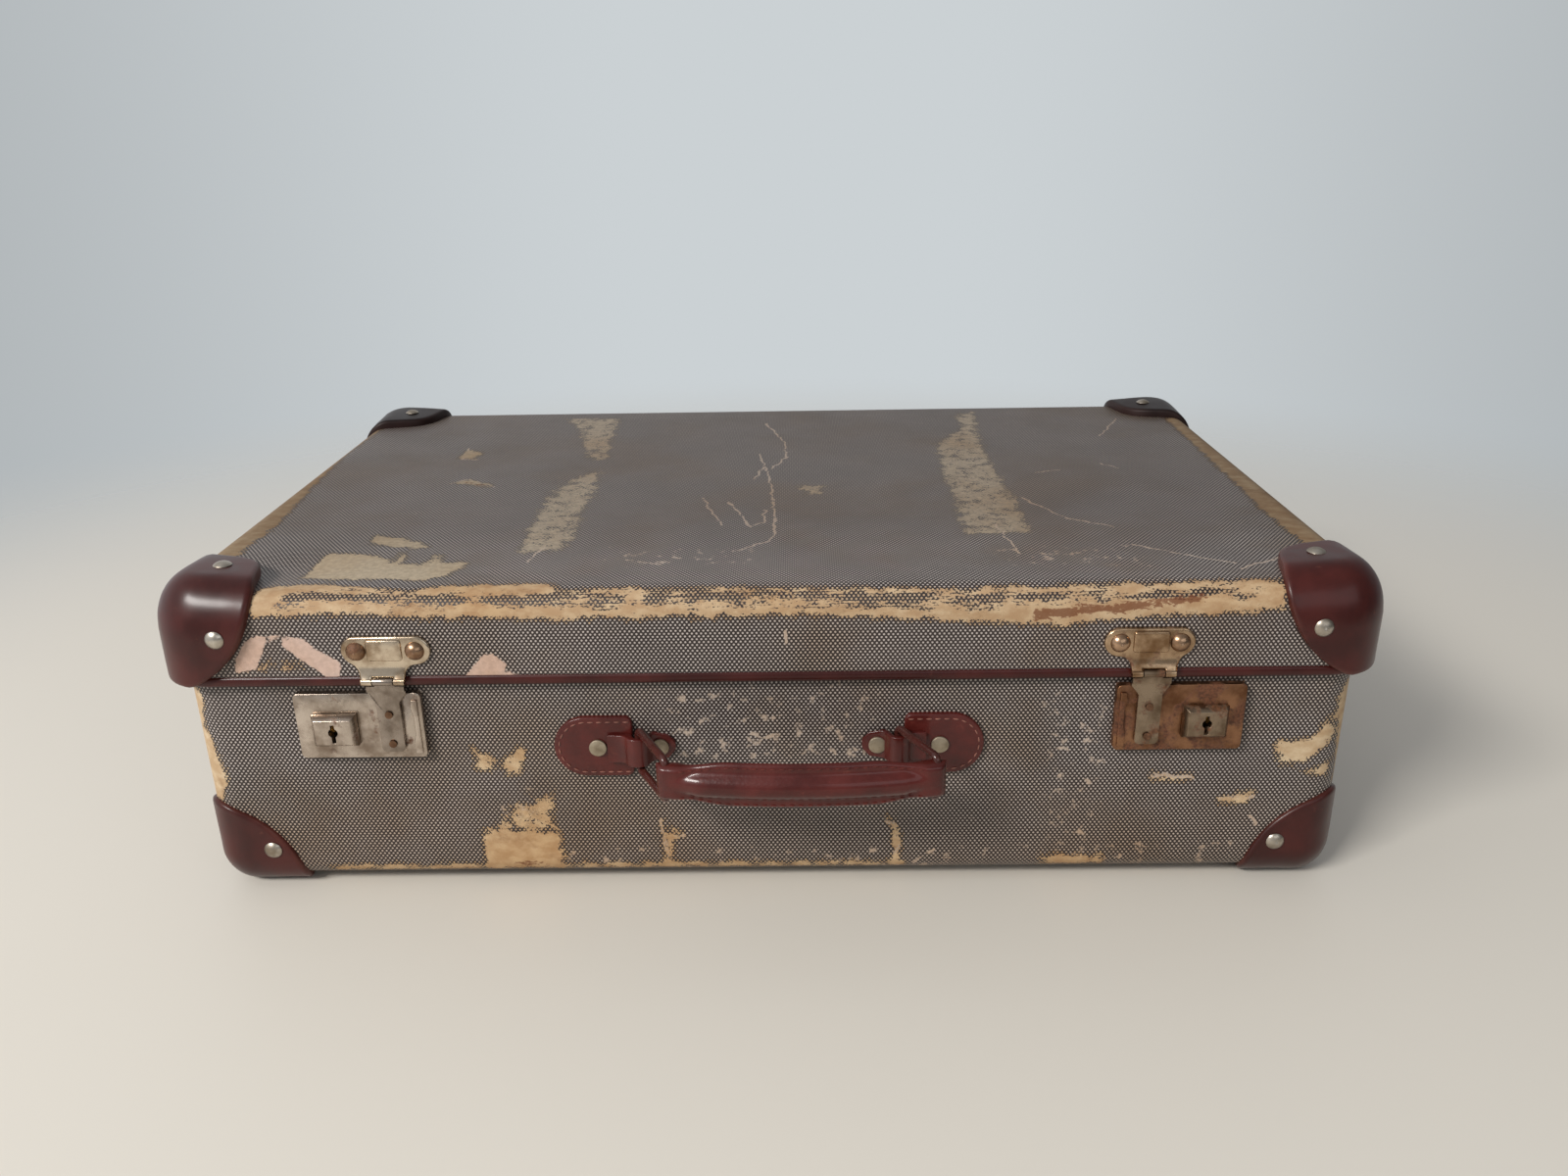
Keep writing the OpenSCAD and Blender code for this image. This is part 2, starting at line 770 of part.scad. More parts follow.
// Hasp tongue: knuckle, cranked neck with shoulders, and a narrow strap over the lock plate
module tongue(s) {
    z_end = z_plate - tongue_drop;
    z_step = z_rim - 2.5;
    half = tongue_w / 2;
    color("lightgray")
        side(s)
        difference() {
            union() {
                translate([u_tongue - hasp_half, front_y - hasp_v, z_hasp]) rotate([0, 90, 0])
                    cylinder(r = hasp_r, h = 2 * hasp_half);
                front_sheet(hasp_v - hasp_r + 0.2, tongue_t) {
                    translate([u_tongue - hasp_half, z_step]) square([2 * hasp_half, z_hasp - z_step]);
                    translate([u_tongue - shoulder_half, z_step])
                        square([2 * shoulder_half, z_hasp - hasp_r - 0.9 - z_step]);
                }
                front_sheet(tongue_back, hasp_v - hasp_r + 0.2 + tongue_t - tongue_back)
                    translate([u_tongue - shoulder_half, z_step]) square([2 * shoulder_half, tongue_t]);
                front_sheet(tongue_back, tongue_t)
                    translate([u_tongue, 0]) {
                        translate([-half, z_end]) round_rect(tongue_w, 12, 2.5);
                        polygon([
                            [-half, z_end + 6], [half, z_end + 6], [half, z_plate - 4],
                            [shoulder_half, z_plate + 0.5], [shoulder_half, z_step + tongue_t],
                            [-shoulder_half, z_step + tongue_t], [-shoulder_half, z_plate + 0.5],
                            [-half, z_plate - 4]
                        ]);
                    }
            }
            translate([u_tongue - hasp_half - 1, front_y - hasp_v, z_hasp]) rotate([0, 90, 0])
                cylinder(r = hasp_pin_r + run_play, h = 2 * hasp_half + 2);
            for (z = [z_peg_top, z_peg_low])
                on_front(u_tongue, 0, z) cylinder(r = 1 + rivet_play, h = 20);
        }
}

module tongue_left() { tongue(-1); }
module tongue_right() { tongue(1); }

// Loop behind the tongue, riveted through it by two pegs
module staple(s) {
    v_back = gap + 0.1;
    color("silver")
        side(s) {
            difference() {
                translate([u_tongue - staple_t / 2, front_y - tongue_back, z_peg_low - 1.2])
                    cube([staple_t, tongue_back - v_back, z_peg_top - z_peg_low + 2.4]);
                translate([u_tongue - staple_t, front_y - tongue_back - 1, z_peg_low + 1.2])
                    cube([2 * staple_t, tongue_back + 1 - v_back - 1.1, z_peg_top - z_peg_low - 2.4]);
            }
            for (z = [z_peg_top, z_peg_low])
                on_front(u_tongue, tongue_back - 0.4, z) {
                    cylinder(r = 1, h = tongue_t + 0.6);
                    translate([0, 0, tongue_t + 0.4]) cylinder(r = 1.9, h = 0.6);
                }
        }
}

module staple_left() { staple(-1); }
module staple_right() { staple(1); }

// Leather tab with a round outer end
module handle_tab(s) {
    u0 = tunnel_x + loop_r + 0.1;
    u1 = tunnel_x + tab_reach;
    color("brown")
        side(s)
        difference() {
            front_sheet(0, tab_t) {
                translate([u0, z_handle - tab_r]) square([u1 - u0, 2 * tab_r]);
                intersection() {
                    translate([u1, z_handle]) circle(tab_r);
                    translate([u1, z_handle - tab_r]) square([tab_r, 2 * tab_r]);
                }
            }
            on_front(tunnel_x + tab_rivet, -1, z_handle) cylinder(r = shank_r + rivet_play, h = tab_t + 2);
        }
}

module handle_tab_left() { handle_tab(-1); }
module handle_tab_right() { handle_tab(1); }

// Narrow strap that humps over the bar of the ring and ends in a small round tongue
module handle_loop(s) {
    half = strap_h / 2;
    color("brown")
        side(s)
        difference() {
            union() {
                translate([tunnel_x, front_y - tunnel_v, z_handle - half]) cylinder(r = loop_r, h = strap_h);
                translate([tunnel_x - loop_r, front_y - tunnel_v, z_handle - half])
                    cube([2 * loop_r, tunnel_v, strap_h]);
                front_sheet(0, strap_t) {
                    translate([tunnel_x - strap_rivet, z_handle - half]) square([strap_rivet, strap_h]);
                    intersection() {
                        translate([tunnel_x - strap_rivet, z_handle]) circle(half);
                        translate([tunnel_x - strap_rivet - half, z_handle - half]) square([half, strap_h]);
                    }
                }
                front_sheet(tab_t, strap_t)
                    translate([tunnel_x, z_handle - half]) square([13, strap_h]);
            }
            translate([tunnel_x, front_y - tunnel_v, z_handle - half - 1])
                cylinder(r = wire_r + run_play, h = strap_h + 2);
            on_front(tunnel_x - strap_rivet, -1, z_handle)
                cylinder(r = shank_r + rivet_play, h = strap_t + 2);
        }
}

module handle_loop_left() { handle_loop(-1); }
module handle_loop_right() { handle_loop(1); }

// Flat-headed rivets through the wall and the batten, burred over inside
module handle_rivets() {
    color("peru")
        for (s = [-1, 1])
            for (p = [[tunnel_x - strap_rivet, strap_t], [tunnel_x + tab_rivet, tab_t]])
                on_front(s * p[0], p[1], z_handle) {
                    cylinder(r = chape_head_r, h = chape_head_t);
                    translate([0, 0, -p[1] - case_depth - 0.5])
                        cylinder(r = shank_r, h = p[1] + case_depth + 1);
                    translate([0, 0, -p[1] - case_depth - 1.2]) cylinder(r = 3.4, h = 1.2);
                }
}

// Bent wire ring: a bar in the tunnel, two arms, and a bar in the grip's end
module ring(s) {
    straight = arm_z - bend_r;
    color("sienna")
        translate([s * tunnel_x, front_y - tunnel_v, z_handle]) rotate([0, 0, -sway]) {
            for (x = [0, ring_len])
                translate([x, 0, -straight]) cylinder(r = wire_r, h = 2 * straight);
            for (m = [0, 1])
                mirror([0, 0, m]) {
                    translate([bend_r, 0, arm_z]) rotate([0, 90, 0])
                        cylinder(r = wire_r, h = ring_len - 2 * bend_r);
                    translate([bend_r, 0, straight]) rotate([90, 0, 0]) rotate([0, 0, 90])
                        rotate_extrude(angle = 90) translate([bend_r, 0]) circle(wire_r);
                    translate([ring_len - bend_r, 0, straight]) rotate([90, 0, 0])
                        rotate_extrude(angle = 90) translate([bend_r, 0]) circle(wire_r);
                }
        }
}

module ring_left() { ring(-1); }
module ring_right() { ring(1); }

// Places its children at the middle of the bow's circle, turned so that +X points along -Y
module at_bow(turn) {
    translate([ring_dx, front_y - bar_v - grip_bow + bow_r, z_handle])
        rotate([0, 0, turn - 90])
        children();
}

// Tapered ends of the leather roll, let into its bar
module roll_ends() {
    for (e = [-1, 1])
        at_bow(e * roll_half) translate([bow_r, 0, 0]) rotate([-90 * e, 0, 0]) {
            translate([0, 0, -1]) cylinder(r1 = roll_r - 0.05, r2 = roll_r - 1.2, h = 4);
            translate([0, 0, 2.9]) cylinder(r1 = roll_r - 1.25, r2 = roll_r - 3.6, h = 2.7);
        }
}

// Bar of the leather roll, bent along the bow
module roll_bar() {
    at_bow(-roll_half) rotate_extrude(angle = 2 * roll_half) translate([bow_r, 0]) circle(roll_r);
}

// Leather wrapped round a firm core, along the grip
module handle_roll() {
    color("brown") {
        roll_bar();
        roll_ends();
    }
}

// Flat leather of the grip, bent along the bow and narrowed towards its ends
module grip_strip() {
    half = strap_h / 2;
    top = grip_h / 2;
    intersection() {
        at_bow(-bow_half)
            rotate_extrude(angle = 2 * bow_half) translate([bow_r - 2.2, -top]) square([4.4, grip_h]);
        translate([ring_dx, front_y - bar_v + 40, z_handle]) rotate([90, 0, 0])
            linear_extrude(100)
            polygon([
                [-tunnel_x - 2, -half], [8 - tunnel_x, -half], [30 - tunnel_x, -top],
                [tunnel_x - 30, -top], [tunnel_x - 8, -half], [tunnel_x + 2, -half],
                [tunnel_x + 2, half], [tunnel_x - 8, half], [tunnel_x - 30, top],
                [30 - tunnel_x, top], [8 - tunnel_x, half], [-tunnel_x - 2, half]
            ]);
    }
}

// Stitched edges above and below the roll, and the eyes round the rings' bars
module handle_grip() {
    half = strap_h / 2;
    color("brown")
        difference() {
            union() {
                grip_strip();
                for (s = [-1, 1])
                    translate([ring_dx + s * tunnel_x, front_y - bar_v, z_handle - half])
                        cylinder(r = loop_r, h = strap_h);
            }
            for (s = [-1, 1])
                translate([ring_dx + s * tunnel_x, front_y - bar_v, z_handle - half - 1])
                    cylinder(r = wire_r + run_play, h = strap_h + 2);
            roll_bar();
            roll_ends();
        }
}

// Hinge leaf on the base, with the two outer knuckles
module hinge_base_leaf(s) {
    half = hinge_w / 2;
    color("lightgray")
        translate([s * hinge_x, 0, 0])
        difference() {
            union() {
                back_sheet(0, leaf_t) translate([-half, z_hinge - 20]) square([hinge_w, 20]);
                translate([-half, back_y + hinge_v, z_hinge]) rotate([0, 90, 0])
                    cylinder(r = knuckle_r, h = hinge_w);
                translate([-half, back_y, z_hinge - 2]) cube([hinge_w, hinge_v, 2]);
            }
            translate([-knuckle_half - gap, back_y - 1, z_hinge - 5])
                cube([2 * knuckle_half + 2 * gap, 10, 10]);
            translate([-half - 1, back_y + hinge_v, z_hinge]) rotate([0, 90, 0])
                cylinder(r = hinge_pin_r, h = hinge_w + 2);
            for (dx = [-1, 1])
                on_back(dx * (half - hinge_rivet_in), -1, z_hinge - hinge_rivet_drop)
                    cylinder(r = shank_r + rivet_play, h = leaf_t + 2);
        }
}

module hinge_base_leaf_left() { hinge_base_leaf(-1); }
module hinge_base_leaf_right() { hinge_base_leaf(1); }

module hinge_base_rivets() {
    color("silver")
        base_leaf_places() domed_rivet(hinge_head_r, hinge_dome, shank_r, leaf_t + cover_t + board_t);
}

module hinge_pins() {
    color("gray")
        for (s = [-1, 1])
            translate([s * hinge_x - hinge_w / 2, back_y + hinge_v, z_hinge]) rotate([0, 90, 0])
                cylinder(r = hinge_pin_r, h = hinge_w);
}

// Hinge leaf on the lid, cranked over the binding, with the middle knuckle
module hinge_lid_leaf(s) {
    half = hinge_w / 2;
    v_low = binding_over + 0.1;
    z_crank = z_rim + binding_h + 0.4;
    color("lightgray")
        translate([s * hinge_x, 0, 0])
        difference() {
            union() {
                back_sheet(lid_over, leaf_t) translate([-half, z_crank]) square([hinge_w, 18]);
                back_sheet(v_low, leaf_t)
                    translate([-half, z_rim]) square([hinge_w, z_crank + leaf_t - z_rim]);
                back_sheet(lid_over, v_low + leaf_t - lid_over)
                    translate([-half, z_crank]) square([hinge_w, leaf_t]);
                back_sheet(v_low, leaf_t) translate([-knuckle_half, z_hinge - 0.6])
                    square([2 * knuckle_half, z_rim + 1 - z_hinge]);
                translate([-knuckle_half, back_y + hinge_v, z_hinge - 0.6])
                    cube([2 * knuckle_half, v_low + leaf_t - hinge_v, 2]);
                translate([-knuckle_half, back_y + hinge_v, z_hinge]) rotate([0, 90, 0])
                    cylinder(r = knuckle_r, h = 2 * knuckle_half);
            }
            translate([-knuckle_half - 1, back_y + hinge_v, z_hinge]) rotate([0, 90, 0])
                cylinder(r = hinge_pin_r + run_play, h = 2 * knuckle_half + 2);
            for (dx = [-1, 1])
                on_back(dx * (half - hinge_rivet_in), lid_over - 1, z_rim + hinge_rivet_up)
                    cylinder(r = shank_r + rivet_play, h = leaf_t + 2);
        }
}

module hinge_lid_leaf_left() { hinge_lid_leaf(-1); }
module hinge_lid_leaf_right() { hinge_lid_leaf(1); }

module hinge_lid_rivets() {
    color("silver")
        lid_leaf_places() domed_rivet(hinge_head_r, hinge_dome, shank_r, leaf_t + cover_t + board_t);
}

base_tray();
base_cover();
base_lining();
front_batten();
base_cap_front_left();
base_cap_front_right();
base_cap_back_left();
base_cap_back_right();
base_cap_rivets();
lock_plate_left();
lock_plate_right();
lock_case_left();
lock_case_right();
lock_springs();
handle_tab_left();
handle_tab_right();
handle_loop_left();
handle_loop_right();
handle_rivets();
hinge_base_leaf_left();
hinge_base_leaf_right();
hinge_base_rivets();
hinge_pins();
lid_tray();
lid_cover();
lid_lining();
lid_binding();
lid_cap_front_left();
lid_cap_front_right();
lid_cap_back_left();
lid_cap_back_right();
lid_cap_rivets();
hasp_bracket_left();
hasp_bracket_right();
hasp_rivets();
hasp_pins();
hinge_lid_leaf_left();
hinge_lid_leaf_right();
hinge_lid_rivets();
tongue_left();
tongue_right();
staple_left();
staple_right();
lock_button_left();
lock_button_right();
lock_bolt_left();
lock_bolt_right();
lock_tumbler_left();
lock_tumbler_right();
ring_left();
ring_right();
handle_grip();
handle_roll();
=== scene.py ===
"""Looks of an old travel case of pressed board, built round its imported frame.

Every size of the case is in millimetres in the part's frame; a finished mesh is scaled to metres once.
The studio's sizes are in metres.
"""
import logging
import math
from dataclasses import dataclass, field
from enum import Enum
from typing import Callable, Iterable, Sequence

import bmesh
import bpy
import numpy as np
from bmesh.types import BMEdge, BMesh, BMFace, BMVert
from bpy.types import Material, Node, NodeSocket, NodeTree, Object
from mathutils import Matrix, Vector, noise


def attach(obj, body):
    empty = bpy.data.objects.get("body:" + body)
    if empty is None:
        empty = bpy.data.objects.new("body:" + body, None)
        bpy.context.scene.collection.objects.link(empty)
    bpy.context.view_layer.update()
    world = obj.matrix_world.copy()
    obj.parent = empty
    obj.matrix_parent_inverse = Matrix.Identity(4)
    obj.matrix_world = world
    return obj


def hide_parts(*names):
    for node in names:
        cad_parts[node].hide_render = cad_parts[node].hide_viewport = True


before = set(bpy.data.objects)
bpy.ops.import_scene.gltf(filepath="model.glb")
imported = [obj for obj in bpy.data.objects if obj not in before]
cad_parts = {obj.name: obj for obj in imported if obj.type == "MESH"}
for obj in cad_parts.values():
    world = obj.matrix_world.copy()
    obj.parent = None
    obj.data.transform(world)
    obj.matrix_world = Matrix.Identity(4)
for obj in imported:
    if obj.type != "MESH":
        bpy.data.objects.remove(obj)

LOG = logging.getLogger("travel_case")
MM = 0.001
# In millimetres: what counts as one place, the depth of wear on whole paper, and where flecks fade in
NEAR = 1e-3
UNWORN = -40.0
FLECK_FADE = 12.0
ORIGIN = (0.0, 0.0, 0.0)
Point2 = tuple[float, float]
Point3 = tuple[float, float, float]
Lines = tuple[tuple[Point2, ...], ...]
Colour = tuple[float, float, float]
Sockets = dict[str, NodeSocket]


class Side(Enum):
    """Left or right of the case, seen from the handle."""

    LEFT = -1
    RIGHT = 1

    @property
    def word(self) -> str:
        """The side's name as the frame spells it."""
        return self.name.lower()


class Wear(Enum):
    """Kinds of wear on the covering paper, each kept as one attribute of the mesh."""

    BARE = "bare"
    RUBBED = "rubbed"
    LABEL = "label"
    REMAINS = "remains"
    STAIN = "stain"
    FLECKS = "flecks"

    @property
    def most(self) -> float:
        """Deepest that this wear counts, in millimetres: chafed print and shreds stay patchy."""
        return {Wear.RUBBED: 3.0, Wear.REMAINS: 2.5}.get(self, -UNWORN)


def srgb(red: int, green: int, blue: int) -> Colour:
    """Turns a colour as a picture shows it into linear light.

    Args:
        red: Red, 0 to 255.
        green: Green, 0 to 255.
        blue: Blue, 0 to 255.

    Returns:
        The linear colour.
    """
    def straight(value: int) -> float:
        """One channel in linear light."""
        share = value / 255
        return share / 12.92 if share <= 0.04045 else ((share + 0.055) / 1.055) ** 2.4

    return straight(red), straight(green), straight(blue)


def shaded(colour: Colour, factor: float) -> Colour:
    """Makes a colour darker or lighter.

    Args:
        colour: The linear colour.
        factor: What each channel is multiplied by.

    Returns:
        The new colour.
    """
    return tuple(factor * c for c in colour)


def unit(value: float) -> float:
    """The value, held between 0 and 1."""
    return min(1.0, max(0.0, value))


def smooth(value: float) -> float:
    """Smooth step of a value between 0 and 1."""
    share = unit(value)
    return share * share * (3 - 2 * share)


@dataclass(frozen=True)
class CaseSizes:
    """Sizes of the case that the part's source gives."""

    width: float = 580.0
    depth: float = 366.0
    corner_r: float = 18.0
    edge_r: float = 12.0
    mid_y: float = 18.11
    z_bottom: float = 5.0
    z_rim: float = 120.0
    z_base_top: float = 132.0
    z_top: float = 167.0
    cover_t: float = 0.4
    board_t: float = 2.6
    lining_t: float = 0.4
    lid_over: float = 4.8
    binding_t: float = 1.0
    cap_t: float = 5.0
    cap_edge_r: float = 20.0

    @property
    def front_y(self) -> float:
        """Outside of the base's front wall."""
        return self.mid_y - self.depth / 2


CASE = CaseSizes()


class NodeSheet:
    """A shader node tree being wired, with short calls for the nodes that the finishes use."""

    def __init__(self, tree: NodeTree) -> None:
        """Takes the tree to be wired."""
        self.tree = tree

    def put(self, socket: NodeSocket, value: object) -> None:
        """Links a socket to another one, or sets its constant.

        Args:
            socket: The input to feed.
            value: A socket, a number, a colour or a vector.
        """
        if isinstance(value, NodeSocket):
            self.tree.links.new(value, socket)
        elif socket.type == "RGBA" and len(value) == 3:
            socket.default_value = (*value, 1.0)
        else:
            socket.default_value = value

    def add(self, kind: str, settings: dict[str, object] | None = None, **inputs: object) -> Node:
        """Adds a node.

        Args:
            kind: The node's type, without its ShaderNode prefix.
            settings: Properties of the node.
            inputs: Values of its named inputs, with _ for a blank.

        Returns:
            The node.
        """
        node = self.tree.nodes.new("ShaderNode" + kind)
        for key, value in (settings or {}).items():
            setattr(node, key, value)
        for key, value in inputs.items():
            self.put(node.inputs[key.replace("_", " ")], value)
        return node

    def paired(self, kind: str, operation: str, first: object, second: object) -> Node:
        """Adds a node that works on two values.

        Args:
            kind: The node's type, without its ShaderNode prefix.
            operation: What it does.
            first: Its first value.
            second: Its second value.

        Returns:
            The node.
        """
        node = self.add(kind, {"operation": operation})
        self.put(node.inputs[0], first)
        self.put(node.inputs[1], second)
        return node

    def math(self, operation: str, first: object, second: object = 0.0) -> NodeSocket:
        """Result of a math node on one or two values."""
        return self.paired("Math", operation, first, second).outputs[0]

    def vector(self, operation: str, first: object, second: object = ORIGIN) -> NodeSocket:
        """Result of a vector math node on one or two vectors."""
        return self.paired("VectorMath", operation, first, second).outputs[0]

    def measure(self, operation: str, first: object, second: object = ORIGIN) -> NodeSocket:
        """Number that a vector math node finds, such as a length."""
        return self.paired("VectorMath", operation, first, second).outputs["Value"]

    def mix(self, share: object, first: object, second: object, blend: str = "MIX") -> NodeSocket:
        """Mixes two colours, which are inputs 6 and 7 and output 2 of the node.

        Args:
            share: Share of the second colour.
            first: The first colour.
            second: The second colour.
            blend: How they blend.

        Returns:
            The colour.
        """
        node = self.add("Mix", {"data_type": "RGBA", "blend_type": blend, "clamp_factor": True})
        self.put(node.inputs[0], share)
        self.put(node.inputs[6], first)
        self.put(node.inputs[7], second)
        return node.outputs[2]

    def step(self, value: object, low: float, high: float,
             start: float = 0.0, end: float = 1.0) -> NodeSocket:
        """Smooth step of a value.

        Args:
            value: The value.
            low: Where the step begins.
            high: Where it ends.
            start: The result up to low.
            end: The result from high on.

        Returns:
            The result.
        """
        ends = {"From_Min": low, "From_Max": high, "To_Min": start, "To_Max": end}
        return self.add("MapRange", {"interpolation_type": "SMOOTHSTEP"}, Value=value, **ends).outputs[0]

    def noise(self, place: object, scale: object, detail: float = 3.0, rough: float = 0.55) -> NodeSocket:
        """Cloudy noise between 0 and 1."""
        node = self.add("TexNoise", None, Vector=place, Scale=scale, Detail=detail, Roughness=rough)
        return node.outputs[0]

    def attribute(self, name: str) -> NodeSocket:
        """Value of one of the mesh's attributes."""
        return self.add("Attribute", {"attribute_name": name}).outputs["Fac"]

    def group(self, shared: "SharedGroup", **inputs: object) -> NodeSocket:
        """Output of a shared group, placed with its own values."""
        return self.add("Group", {"node_tree": shared.tree()}, **inputs).outputs[0]


@dataclass(frozen=True)
class SharedGroup:
    """A shader node group that is made once and placed wherever a finish needs it.

    Wire takes the group's sheet and the sockets of its inputs, and returns the socket of its output.
    """

    name: str
    inputs: dict[str, float | Point3]
    wire: Callable[[NodeSheet, Sockets], NodeSocket]
    output: str = "Mask"

    def tree(self) -> NodeTree:
        """Makes the group, or finds it again.

        Returns:
            The group's tree.
        """
        if self.name in bpy.data.node_groups:
            return bpy.data.node_groups[self.name]
        tree = bpy.data.node_groups.new(self.name, "ShaderNodeTree")
        for key, value in self.inputs.items():
            kind = "NodeSocketFloat" if isinstance(value, float) else "NodeSocketVector"
            socket = tree.interface.new_socket(key, in_out="INPUT", socket_type=kind)
            socket.default_value = value
        tree.interface.new_socket(self.output, in_out="OUTPUT", socket_type="NodeSocketFloat")
        given = tree.nodes.new("NodeGroupInput")
        result = tree.nodes.new("NodeGroupOutput")
        found = self.wire(NodeSheet(tree), {key: given.outputs[key] for key in self.inputs})
        tree.links.new(found, result.inputs[0])
        return tree


def wire_dots(s: NodeSheet, given: Sockets) -> NodeSocket:
    """Staggered rows of printed dots, by the distance to the nearer of two lattices.

    Args:
        s: The group's sheet.
        given: Sockets of its inputs.

    Returns:
        The mask.
    """
    cell = s.add("CombineXYZ", None, X=given["Pitch"], Y=given["Row"], Z=1.0).outputs[0]
    place = s.vector("DIVIDE", given["Place"], cell)
    near = []
    for shift in (0.0, 0.5):
        moved = s.vector("ADD", place, (shift, shift, 0.0))
        part = s.vector("SUBTRACT", s.vector("FRACTION", moved), (0.5, 0.5, 0.0))
        flat = s.vector("MULTIPLY", s.vector("MULTIPLY", part, cell), (1.0, 1.0, 0.0))
        near.append(s.measure("LENGTH", flat))
    gap = s.math("SUBTRACT", given["Radius"], s.math("MINIMUM", near[0], near[1]))
    return s.step(gap, -0.14, 0.14)


def wire_scratch(s: NodeSheet, given: Sockets) -> NodeSocket:
    """A scratch between two points, with soft edges.

    Args:
        s: The group's sheet.
        given: Sockets of its inputs.

    Returns:
        The mask.
    """
    run = s.vector("SUBTRACT", given["End"], given["Start"])
    off = s.vector("SUBTRACT", given["Place"], given["Start"])
    along = s.math("DIVIDE", s.measure("DOT_PRODUCT", off, run), s.measure("DOT_PRODUCT", run, run))
    held = s.math("MINIMUM", s.math("MAXIMUM", along, 0.0), 1.0)
    scale = s.add("VectorMath", {"operation": "SCALE"}, Scale=held)
    s.put(scale.inputs[0], run)
    away = s.measure("LENGTH", s.vector("SUBTRACT", off, scale.outputs[0]))
    return s.step(s.math("SUBTRACT", given["Width"], away), -0.25, 0.25)


def wire_ragged(s: NodeSheet, given: Sockets) -> NodeSocket:
    """A distance in millimetres, made ragged by coarse and fine noise.

    Args:
        s: The group's sheet.
        given: Sockets of its inputs.

    Returns:
        The mask.
    """
    coarse = s.math("SUBTRACT", s.noise(given["Place"], 0.13, 4.0, 0.6), 0.5)
    fine = s.math("SUBTRACT", s.noise(given["Place"], 0.75, 3.0, 0.6), 0.5)
    torn = s.math("ADD", given["Distance"], s.math("MULTIPLY", coarse, given["Coarse"]))
    torn = s.math("ADD", torn, s.math("MULTIPLY", fine, given["Fine"]))
    return s.step(torn, -0.4, 0.4)


def wire_mottle(s: NodeSheet, given: Sockets) -> NodeSocket:
    """Patches where noise passes a level."""
    cloud = s.noise(given["Place"], given["Scale"], 5.0, 0.62)
    return s.step(s.math("SUBTRACT", cloud, given["Level"]), -0.06, 0.06)


def wire_grain(s: NodeSheet, given: Sockets) -> NodeSocket:
    """The pebbled grain of leather: rounded cells broken up by noise.

    Args:
        s: The group's sheet.
        given: Sockets of its inputs.

    Returns:
        The height.
    """
    node = s.add("TexVoronoi", {"feature": "F1"}, Vector=given["Place"], Scale=given["Scale"])
    cells = s.step(node.outputs["Distance"], 0.15, 0.75, 1.0, 0.0)
    return s.math("ADD", cells, s.math("MULTIPLY", s.noise(given["Place"], 260.0, 4.0), 0.8))


PRINTED_DOTS = SharedGroup("printed_dots", {"Place": ORIGIN, "Pitch": 2.21, "Row": 3.0, "Radius": 0.5},
                           wire_dots)
SCRATCH_LINE = SharedGroup("scratch_line", {"Place": ORIGIN, "Start": ORIGIN, "End": (1.0, 0.0, 0.0),
                                            "Width": 0.6}, wire_scratch)
RAGGED_EDGE = SharedGroup("ragged_edge", {"Place": ORIGIN, "Distance": 0.0, "Coarse": 8.0, "Fine": 4.0},
                          wire_ragged)
MOTTLE = SharedGroup("mottle", {"Place": ORIGIN, "Scale": 40.0, "Level": 0.6}, wire_mottle)
HIDE_GRAIN = SharedGroup("hide_grain", {"Place": ORIGIN, "Scale": 700.0}, wire_grain, "Height")
MADE: dict[str, Material] = {}


@dataclass(frozen=True)
class Finish:
    """A finish of the case, which makes its material once."""

    name: str

    def material(self) -> Material:
        """The finish's material, made when it is first asked for.

        Returns:
            The material.
        """
        if self.name not in MADE:
            made = bpy.data.materials.new(self.name)
            made.use_nodes = True
            sheet = NodeSheet(made.node_tree)
            self.dress(sheet, made.node_tree.nodes["Principled BSDF"])
            MADE[self.name] = made
        return MADE[self.name]

    def dress(self, s: NodeSheet, shader: Node) -> None:
        """Wires the finish into the shader.

        Args:
            s: The sheet.
            shader: The shader.
        """
        raise NotImplementedError

    def place(self, s: NodeSheet) -> NodeSocket:
        """Object coordinates, in metres."""
        return s.add("TexCoord").outputs["Object"]

    def bump(self, s: NodeSheet, shader: Node, height: object, strength: float, depth: float) -> None:
        """Feeds a height into the shader's normal.

        Args:
            s: The sheet.
            shader: The shader.
            height: The height's socket.
            strength: Strength of the bump.
            depth: Its depth in metres.
        """
        node = s.add("Bump", None, Strength=strength, Distance=depth, Height=height)
        s.put(shader.inputs["Normal"], node.outputs[0])


